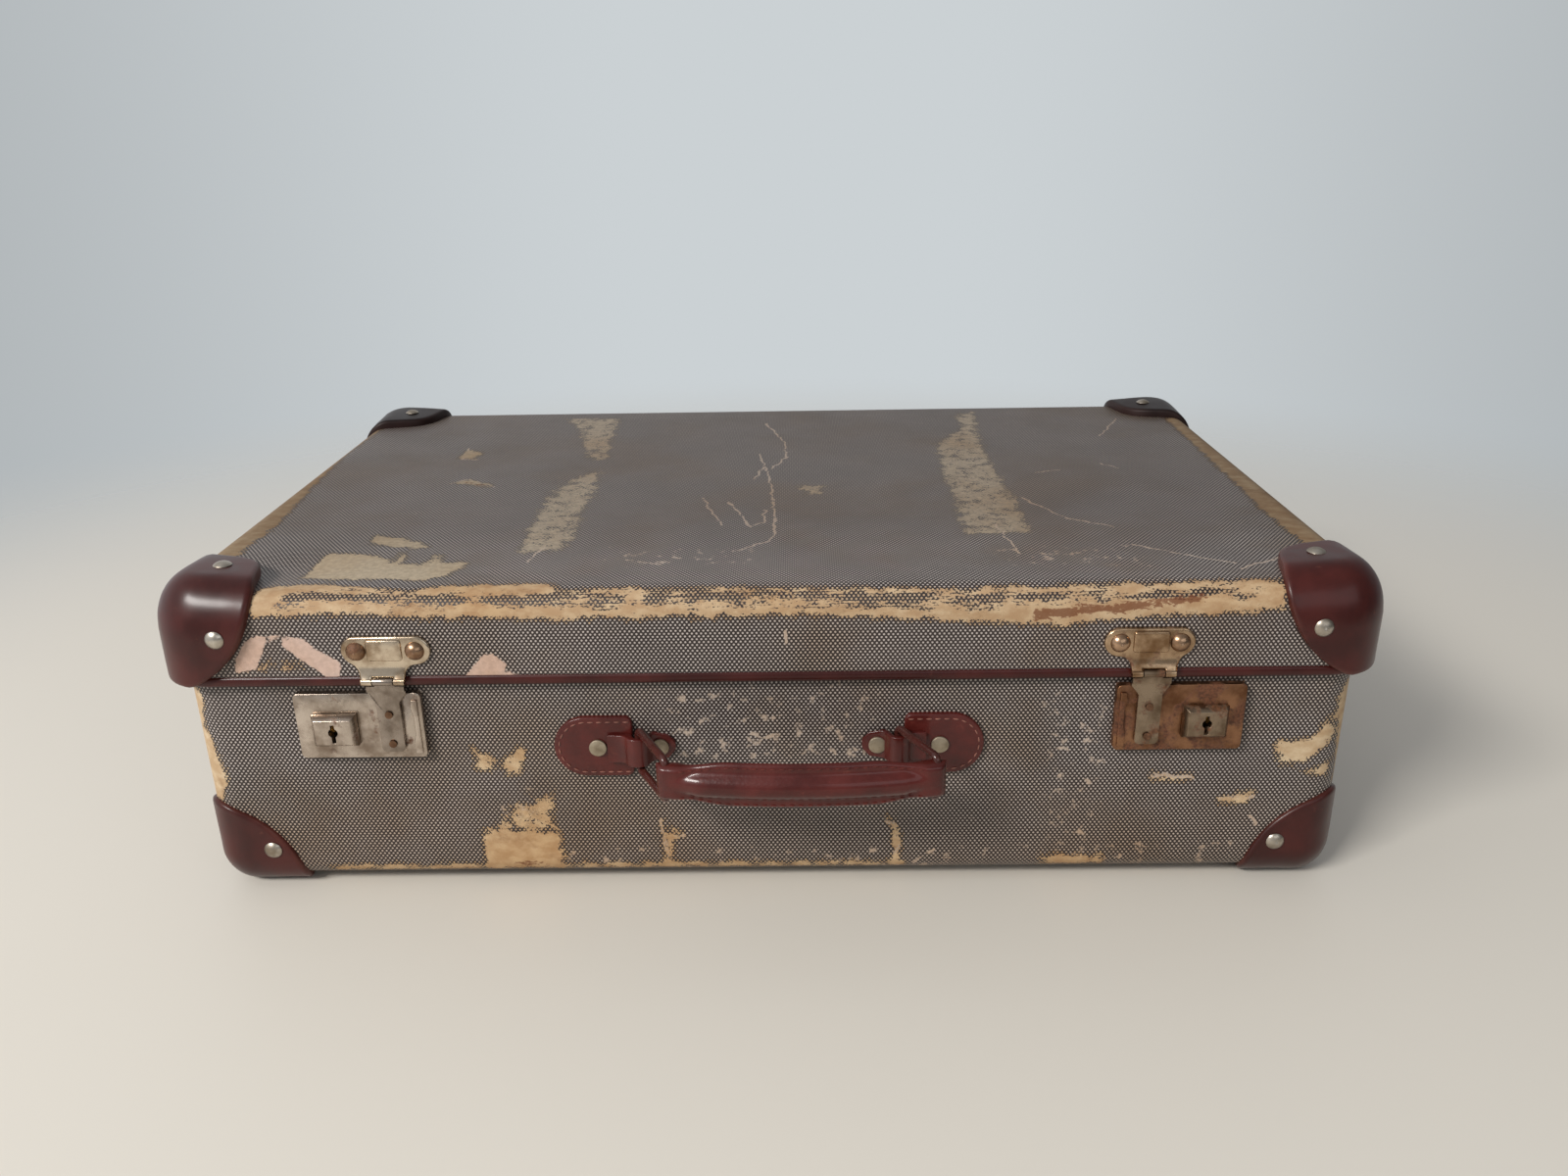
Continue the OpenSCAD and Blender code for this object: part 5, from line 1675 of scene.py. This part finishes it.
    def pressed_forms(self) -> None:
        """Builds the embossed panel of the bracket and the rib at the plate's inner end."""
        s, word = self.side.value, self.side.word
        middle, z = self.bracket_x + self.panel_shift, CASE.z_rim + self.bracket_up
        half, low, high = self.panel_half, self.panel_low, self.panel_high
        corners = ((-half, low), (half, low), (half, high), (-half, high))
        raised_panel(f"bracket_panel_{word}", [(s * (middle + x), z + up) for x, up in corners],
                     front=CASE.lid_over + self.sheet_t - self.sunk, rise=1.1, round_r=1.6, ease=0.9,
                     finish=self.bracket_finish, body="lid")
        low, high = self.plate_top - self.plate_h + 2.5, self.plate_top - 3.5
        rib = ((1.6, low), (5.2, low), (5.6, low + 6), (4.2, low + 11), (4.2, high - 9), (5.4, high - 4),
               (4.6, high), (1.6, high))
        raised_panel(f"plate_rib_{word}", [(s * (self.plate_in + x), up) for x, up in rib],
                     front=self.plate_t - self.sunk, rise=1.5, round_r=0.6, ease=0.55,
                     finish=self.plate_finish, body="base")

    def stand_out(self, bm: BMesh, rise: float) -> None:
        """Moves the front skin of a piece below the hasp's knuckle outwards.

        Args:
            bm: The piece.
            rise: How far it moves.
        """
        low = [v for v in bm.verts if v.co.z < CASE.z_rim - self.knuckle_low]
        front = min(v.co.y for v in low)
        for v in low:
            if v.co.y < front + self.skin_t:
                v.co.y -= rise

    def build(self) -> None:
        """Builds the lock's visible pieces and dresses those inside it."""
        word, right = self.side.word, self.side is Side.RIGHT
        plate, button = f"lock_plate_{word}", f"lock_button_{word}"
        settle(eased_copy(plate, 0.45), plate + "_pressed", self.plate_finish, "base", (plate,))
        settle(eased_copy(button, 0.9, 4), button + "_pressed", DARK_NICKEL if right else PALE_NICKEL,
               f"slide_{word}", (button,))
        tongue = DARK_NICKEL if right else GREY_NICKEL
        for node, ease, rise, finish in ((f"tongue_{word}", 0.5, 0.9, tongue),
                                         (f"staple_{word}", 0.15, 1.1, SMALL_RIVET)):
            bm = eased_copy(node, ease, 3)
            self.stand_out(bm, rise)
            settle(bm, node + "_pressed", finish, f"tongue_{word}", (node,))
        self.bracket()
        self.pressed_forms()
        for node, finish in (("lock_case", STEEL), ("lock_bolt", STEEL), ("lock_tumbler", BRASS)):
            dress_node(f"{node}_{word}", finish)


@dataclass
class Fastenings:
    """Rivets, hinges and pins."""

    rivets: tuple[tuple[str, Finish, str, str], ...] = (
        ("base_cap_rivets", RIVET, "base", "rivet_steel"), ("lid_cap_rivets", RIVET, "lid", "rivet_steel"),
        ("hasp_rivets", BRONZE, "lid", "rivet_steel"), ("hinge_base_rivets", STEEL, "base", "rivet_steel"),
        ("hinge_lid_rivets", STEEL, "lid", "rivet_steel"), ("handle_rivets", CHAPE_RIVET, "base", "brass"),
    )
    bracket_rise: float = 0.8
    lid_lift: float = 1.7
    base_tuck: float = 2.5

    def follow_caps(self, bm: BMesh, lid: bool) -> None:
        """Moves the caps' rivets with the pressed form: up on the lid, inwards round the base.

        Args:
            bm: The rivets.
            lid: Whether they hold the lid's caps.
        """
        for v in bm.verts:
            if lid and v.co.z > CASE.z_top:
                v.co.z += self.lid_lift
            elif not lid and abs(v.co.y - CASE.mid_y) > CASE.depth / 2:
                v.co.y -= math.copysign(self.base_tuck, v.co.y - CASE.mid_y)
            elif not lid and abs(v.co.x) > CASE.width / 2:
                v.co.x -= math.copysign(self.base_tuck, v.co.x)

    def build(self) -> None:
        """Builds the rivets and hinge leaves, and dresses the pins and springs."""
        for node, finish, body, slot in self.rivets:
            bm = eased_copy(node, 0.25)
            if node.endswith("cap_rivets"):
                self.follow_caps(bm, body == "lid")
            if node == "hasp_rivets":
                bmesh.ops.translate(bm, verts=bm.verts, vec=(0.0, -self.bracket_rise, 0.0))
            settle(bm, node + "_eased", finish, body, (node,), 50.0)
        for side in Side:
            for body in ("base", "lid"):
                node = f"hinge_{body}_leaf_{side.word}"
                settle(eased_copy(node, 0.25), node + "_eased", WARM_NICKEL, body, (node,))
        for node in ("hinge_pins", "hasp_pins", "lock_springs"):
            dress_node(node, STEEL)


@dataclass
class StrapHandle:
    """The leather handle: tabs and loops on the wall, wire rings, and the stitched grip."""

    tunnel_x: float = 64.0
    middle_z: float = CASE.z_rim - 36.5
    tab_r: float = 16.5
    tab_reach: float = 26.5
    tab_start: float = 3.4
    tab_ease: float = 4.0
    tab_t: float = 2.6
    seam_in: float = 2.6
    seam_start: float = 6.5
    ring_dx: float = 15.96
    bar_v: float = 35.52
    bow: float = 6.0
    bow_r: float = 344.3
    grip_half: float = 68.7
    grip_h: float = 20.5
    grip_edge: float = 1.3
    grip_seam_in: float = 1.9
    grip_seam_end: float = 8.0
    taper_end: float = 56.0
    taper: float = 22.0
    lip_t: float = 2.1
    eye_swell: float = 2.4
    eye_start: float = 50.0
    eye_run: float = 10.0
    eye_r: float = 4.6
    strap_h: float = 15.4
    strap_end: float = 54.0
    strap_ease: float = 0.7
    left_stretch: float = 1.14
    roll_r: float = 6.5
    roll_end: float = 60.0
    roll_fade: float = 12.0
    roll_least: float = 0.62
    pitch: float = 4.3
    stitch_half: Point3 = (1.55, 0.42, 0.5)
    over_bar: tuple[Point2, ...] = (
        (78.0, 4.9), (72.6, 5.1), (70.6, 6.0), (69.4, 7.8), (67.8, 9.6), (66.0, 10.3), (64.0, 10.5),
        (62.0, 10.2), (60.4, 9.2), (59.2, 7.4), (58.3, 5.2), (57.2, 3.4), (55.4, 2.5), (50.0, 2.4),
        (46.4, 2.2),
    )
    under_bar: tuple[Point2, ...] = (
        (46.4, 0.05), (56.6, 0.05), (58.6, 0.9), (60.2, 2.8), (61.2, 5.4), (62.2, 7.2), (64.0, 7.9),
        (65.8, 7.2), (66.7, 5.5), (67.2, 3.6), (68.8, 2.65), (77.0, 2.65),
    )

    def stitch(self, bm: BMesh, at: Vector, along: Vector, out: Vector) -> None:
        """Adds one stitch.

        Args:
            bm: The mesh of the seam.
            at: Its middle.
            along: Direction of the seam.
            out: Direction out of the leather.
        """
        across = out.cross(along)
        turn = Matrix((along, across, out)).transposed().to_4x4()
        size = Matrix.Diagonal((*self.stitch_half, 1.0))
        bmesh.ops.create_uvsphere(bm, u_segments=6, v_segments=4, radius=1.0,
                                  matrix=Matrix.Translation(at) @ turn @ size)

    def tab(self, side: Side) -> None:
        """Builds the tab on the wall: round outside, with eased corners next to the ring.

        Args:
            side: The tab's side.
        """
        s, r, end = side.value, self.tab_r, self.tunnel_x + self.tab_reach
        turns = [math.pi * (i / 24 - 0.5) for i in range(25)]
        outline = [(end + r * math.cos(a), r * math.sin(a)) for a in turns]
        start, ease = self.tunnel_x + self.tab_start, self.tab_ease
        for low, sign in ((90, 1), (180, -1)):
            for i in range(6):
                turn = math.radians(low + 18 * i)
                across = start + ease + ease * math.cos(turn)
                outline.append((across, sign * (r - ease) + ease * math.sin(turn)))
        points = [(s * x, self.middle_z + z) for x, z in outline]
        node = f"handle_tab_{side.word}"
        raised_panel(node + "_leather", points, front=0.0, rise=self.tab_t, round_r=0.0, ease=0.9,
                     finish=LEATHER, body="base", stands_for=(node,))

    def tab_seam(self, side: Side) -> None:
        """Builds the seam along the edge of a tab.

        Args:
            side: The tab's side.
        """
        s, r = side.value, self.tab_r - self.seam_in
        start, end = self.tunnel_x + self.seam_start, self.tunnel_x + self.tab_reach
        bm = bmesh.new()
        y = CASE.front_y - self.tab_t - 0.1
        straight, bend = end - start, math.pi * r
        count = round((2 * straight + bend) / self.pitch)
        for i in range(count + 1):
            run = (2 * straight + bend) * i / count
            if run < straight:
                x, z, turn = start + run, r, 0.0
            elif run < straight + bend:
                turn = (run - straight) / r
                x, z = end + r * math.sin(turn), r * math.cos(turn)
            else:
                x, z, turn = end - (run - straight - bend), -r, math.pi
            along = Vector((s * math.cos(turn), 0, -math.sin(turn)))
            self.stitch(bm, Vector((s * x, y, self.middle_z + z)), along, Vector((0, -1, 0)))
        settle(bm, f"tab_stitches_{side.word}", THREAD, "base")

    def loop(self, side: Side) -> None:
        """Builds the narrow strap that holds a ring: over the tab, over the ring's bar and down to the wall.

        Args:
            side: The loop's side.
        """
        s, half, rows = side.value, self.strap_h / 2, 10
        bm = bmesh.new()
        chain(bm, [(x, -v, -half) for x, v in self.over_bar + self.under_bar], True)
        bmesh.ops.contextual_create(bm, geom=bm.edges[:])
        top = bm.faces[:]
        for _ in range(rows):
            grown = bmesh.ops.extrude_face_region(bm, geom=top)["geom"]
            buried = [f for f in top if f.is_valid and all(len(e.link_faces) > 2 for e in f.edges)]
            bmesh.ops.delete(bm, geom=buried, context="FACES_ONLY")
            top = [g for g in grown if isinstance(g, BMFace)]
            ends = [g for g in grown if isinstance(g, BMVert)]
            bmesh.ops.translate(bm, verts=ends, vec=(0, 0, 2 * half / rows))
        bmesh.ops.recalc_face_normals(bm, faces=bm.faces)
        rim = [e for e in bm.edges if e.calc_face_angle(0.0) > 1.0
               and all(abs(abs(v.co.z) - half) < 1e-4 for v in e.verts)]
        round_edges(bm, rim, self.strap_ease, 3, True)
        for v in bm.verts:
            if side is Side.LEFT and v.co.x > self.tunnel_x:
                v.co.x = self.tunnel_x + (v.co.x - self.tunnel_x) * self.left_stretch
            share = max(0.0, self.strap_end - v.co.x) / half
            v.co.z *= math.sqrt(max(0.02, 1 - share * share))
            v.co = (s * v.co.x, CASE.front_y + v.co.y, self.middle_z + v.co.z)
        bmesh.ops.recalc_face_normals(bm, faces=bm.faces)
        node = f"handle_loop_{side.word}"
        settle(bm, node + "_leather", LEATHER, "base", (node,), 50.0)

    def half_height(self, run: float) -> float:
        """Half height of the grip, at a distance along it from its middle."""
        share = smooth((self.taper_end - abs(run)) / self.taper)
        return self.strap_h / 2 + self.grip_edge + (self.grip_h - self.strap_h) / 2 * share

    def half_thickness(self, run: float, level: float) -> float:
        """Half thickness of the grip: a flat strap, with the roll in its middle and an eye at each end.

        Args:
            run: Distance along the grip from its middle.
            level: Distance from its middle line.

        Returns:
            The half thickness.
        """
        tall, far = self.half_height(run), abs(run)
        lip = self.lip_t + self.eye_swell * smooth((far - self.eye_start) / self.eye_run)
        if far > self.tunnel_x:
            lip = math.sqrt(max(0.3, self.eye_r ** 2 - (far - self.tunnel_x) ** 2))
        lip *= math.sqrt(max(0.0, 1 - (abs(level) / tall) ** 8))
        fade = unit((self.roll_end - far) / self.roll_fade)
        radius = self.roll_r * (self.roll_least + (1 - self.roll_least) * fade)
        roll = math.sqrt(max(0.0, radius ** 2 - level ** 2)) if far < self.tunnel_x else 0.0
        return (lip ** 5 + roll ** 5) ** 0.2

    def spot_on_bow(self, run: float, out: float, level: float) -> Vector:
        """A point of the grip.

        Args:
            run: Its place along the bow.
            out: Distance from the bow, outwards.
            level: Height over the middle line.

        Returns:
            The point.
        """
        centre = Vector((self.ring_dx, CASE.front_y - self.bar_v - self.bow + self.bow_r, self.middle_z))
        turn = run / self.bow_r
        away = Vector((math.sin(turn), -math.cos(turn), 0.0))
        return centre + away * (self.bow_r + out) + Vector((0.0, 0.0, level))

    def grip(self) -> None:
        """Builds the grip: a loop of its section, carried along the bow."""
        rows, ring = 72, 48
        bm = bmesh.new()
        edges = chain(bm, [(0.0, float(i), 0.0) for i in range(ring)], True)
        bmesh.ops.contextual_create(bm, geom=edges)
        edges = bm.edges[:]
        for _ in range(rows):
            edges = draw_out(bm, edges, (1, 0, 0))
        bmesh.ops.contextual_create(bm, geom=edges)
        for v in bm.verts:
            run = -self.grip_half * math.cos(math.pi * v.co.x / rows)
            turn = 2 * math.pi * v.co.y / ring
            level = self.half_height(run) * math.sin(turn)
            thick, facing = self.half_thickness(run, level), math.cos(turn)
            out = math.copysign(thick, facing) if abs(facing) > 1e-6 else 0.0
            v.co = self.spot_on_bow(run, out, level)
        bmesh.ops.recalc_face_normals(bm, faces=bm.faces)
        settle(bm, "handle_grip_leather", LEATHER, "handle", ("handle_grip", "handle_roll"), 70.0)

    def grip_seams(self) -> None:
        """Builds the seams above and below the roll, in front and behind."""
        bm = bmesh.new()
        half = self.tunnel_x - self.grip_seam_end
        count = round(2 * half / self.pitch)
        for i in range(count + 1):
            run = -half + 2 * half * i / count
            height = self.half_height(run) - self.grip_seam_in
            turn = run / self.bow_r
            out = Vector((math.sin(turn), -math.cos(turn), 0))
            along = Vector((math.cos(turn), math.sin(turn), 0))
            for face in (-1, 1):
                for level in (-height, height):
                    at = self.spot_on_bow(run, face * (self.half_thickness(run, level) + 0.05), level)
                    self.stitch(bm, at, along * face, out * face)
        settle(bm, "grip_stitches", GRIP_THREAD, "handle")

    def build(self) -> None:
        """Builds the handle's leather, wire and seams."""
        for side in Side:
            word = side.word
            self.tab(side)
            self.loop(side)
            settle(eased_copy(f"ring_{word}", 0.0), f"ring_{word}_wire", WIRE, f"ring_{word}",
                   (f"ring_{word}",), 70.0)
            self.tab_seam(side)
        self.grip()
        self.grip_seams()


@dataclass
class Studio:
    """Plain pale floor, soft light and the camera."""

    eye: Point3 = (0.0175, -0.70699, 0.3798)
    aim: Point3 = (0.0, 0.0, 0.08)
    pitch: float = 21.47
    yaw: float = -0.90
    roll: float = -1.02
    focal_px: float = 1252.8
    image_px: float = 1600.0
    sensor_mm: float = 36.0
    floor_r: float = 2.2
    floor_colour: Colour = srgb(220, 215, 205)
    wall_colour: Colour = srgb(203, 209, 212)

    def camera(self) -> None:
        """Sets the camera where the photograph was taken from."""
        pitch, yaw, roll = (math.radians(a) for a in (self.pitch, self.yaw, self.roll))
        ahead = Vector((math.sin(yaw) * math.cos(pitch), math.cos(yaw) * math.cos(pitch), -math.sin(pitch)))
        level = Vector((math.cos(yaw), -math.sin(yaw), 0))
        upright = level.cross(ahead)
        right = level * math.cos(roll) + upright * math.sin(roll)
        up = right.cross(ahead)
        lens = bpy.data.cameras.new("camera")
        lens.sensor_width = self.sensor_mm
        lens.lens = self.sensor_mm * self.focal_px / self.image_px
        camera = bpy.data.objects.new("camera", lens)
        turn = Matrix((right, up, -ahead)).transposed().to_4x4()
        camera.matrix_world = Matrix.Translation(self.eye) @ turn
        bpy.context.scene.collection.objects.link(camera)
        bpy.context.scene.camera = camera

    def lamp(self, name: str, at: Point3, size: float, power: float, colour: Colour) -> None:
        """Adds a soft lamp, twice as wide as it is tall.

        Args:
            name: Its name.
            at: Its place.
            size: Its width.
            power: Its power in watts.
            colour: Its colour.
        """
        light = bpy.data.lights.new(name, "AREA")
        light.shape = "RECTANGLE"
        light.size = size
        light.size_y = size / 2
        light.energy = power
        light.color = colour
        lamp = bpy.data.objects.new(name, light)
        away = (Vector(at) - Vector(self.aim)).normalized()
        lamp.matrix_world = Matrix.Translation(at) @ away.to_track_quat("Z", "Y").to_matrix().to_4x4()
        bpy.context.scene.collection.objects.link(lamp)

    def floor(self) -> None:
        """Builds the floor, which fades out far from the case."""
        bm = bmesh.new()
        bmesh.ops.create_circle(bm, cap_ends=True, segments=96, radius=self.floor_r)
        mesh = bpy.data.meshes.new("floor")
        bm.to_mesh(mesh)
        bm.free()
        floor = bpy.data.objects.new("floor", mesh)
        bpy.context.scene.collection.objects.link(floor)
        made = bpy.data.materials.new("floor_finish")
        made.use_nodes = True
        s = NodeSheet(made.node_tree)
        shader = made.node_tree.nodes["Principled BSDF"]
        place = s.add("TexCoord").outputs["Object"]
        cloud = s.noise(place, 3.0, 3.0)
        pale = s.mix(cloud, self.floor_colour, shaded(self.floor_colour, 0.97))
        s.put(shader.inputs["Base Color"], pale)
        shader.inputs["Roughness"].default_value = 0.5
        away = s.measure("LENGTH", s.vector("SUBTRACT", place, (0.0, -0.1, 0.0)))
        s.put(shader.inputs["Alpha"], s.step(away, 0.55, 1.25, 1.0, 0.0))
        mesh.materials.append(made)

    def world(self) -> None:
        """Sets the soft surrounding light and the pale wall that the camera sees, darkened towards the sides
        with painted shade.
        """
        world = bpy.data.worlds.new("studio")
        bpy.context.scene.world = world
        world.use_nodes = True
        s = NodeSheet(world.node_tree)
        world.node_tree.nodes.clear()
        path = s.add("LightPath")
        way = s.add("SeparateXYZ", None, Vector=s.add("TexCoord").outputs["Generated"]).outputs
        soft = s.math("ADD", s.math("MULTIPLY", way[0], -0.3), s.math("MULTIPLY", way[1], 0.1))
        level = s.math("MAXIMUM", s.math("ADD", soft, 0.44), 0.08)
        glow = s.add("Background", None, Color=(0.97, 0.98, 1.0), Strength=level)
        # Painted shade: the wall that the camera sees darkens towards its left and right
        edge = s.step(s.math("ABSOLUTE", way[0]), 0.1, 0.75, 1.0, 0.68)
        wall = s.add("Background", None, Color=self.wall_colour, Strength=edge)
        both = s.add("MixShader")
        s.put(both.inputs[0], path.outputs["Is Camera Ray"])
        s.put(both.inputs[1], glow.outputs[0])
        s.put(both.inputs[2], wall.outputs[0])
        out = s.add("OutputWorld")
        s.put(out.inputs["Surface"], both.outputs[0])

    def build(self) -> None:
        """Sets camera, floor, lamps and world."""
        self.camera()
        self.floor()
        self.lamp("key", (-1.7, -1.85, 1.95), size=1.1, power=77.0, colour=(1.0, 0.97, 0.93))
        self.lamp("fill", (0.9, -1.6, 0.9), size=1.6, power=4.0, colour=(0.95, 0.98, 1.0))
        self.world()
        bpy.context.scene.view_settings.view_transform = "Standard"


def main() -> None:
    """Builds the studio and every sub-assembly."""
    logging.basicConfig(level=logging.INFO, format="%(message)s")
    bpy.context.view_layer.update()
    Studio().build()
    Base().build()
    Lid().build()
    for side in Side:
        for back in (False, True):
            for lid in (False, True):
                CornerCap(side, back, lid).build()
        HaspLock(side).build()
    Fastenings().build()
    StrapHandle().build()


if __name__ == "__main__":
    main()
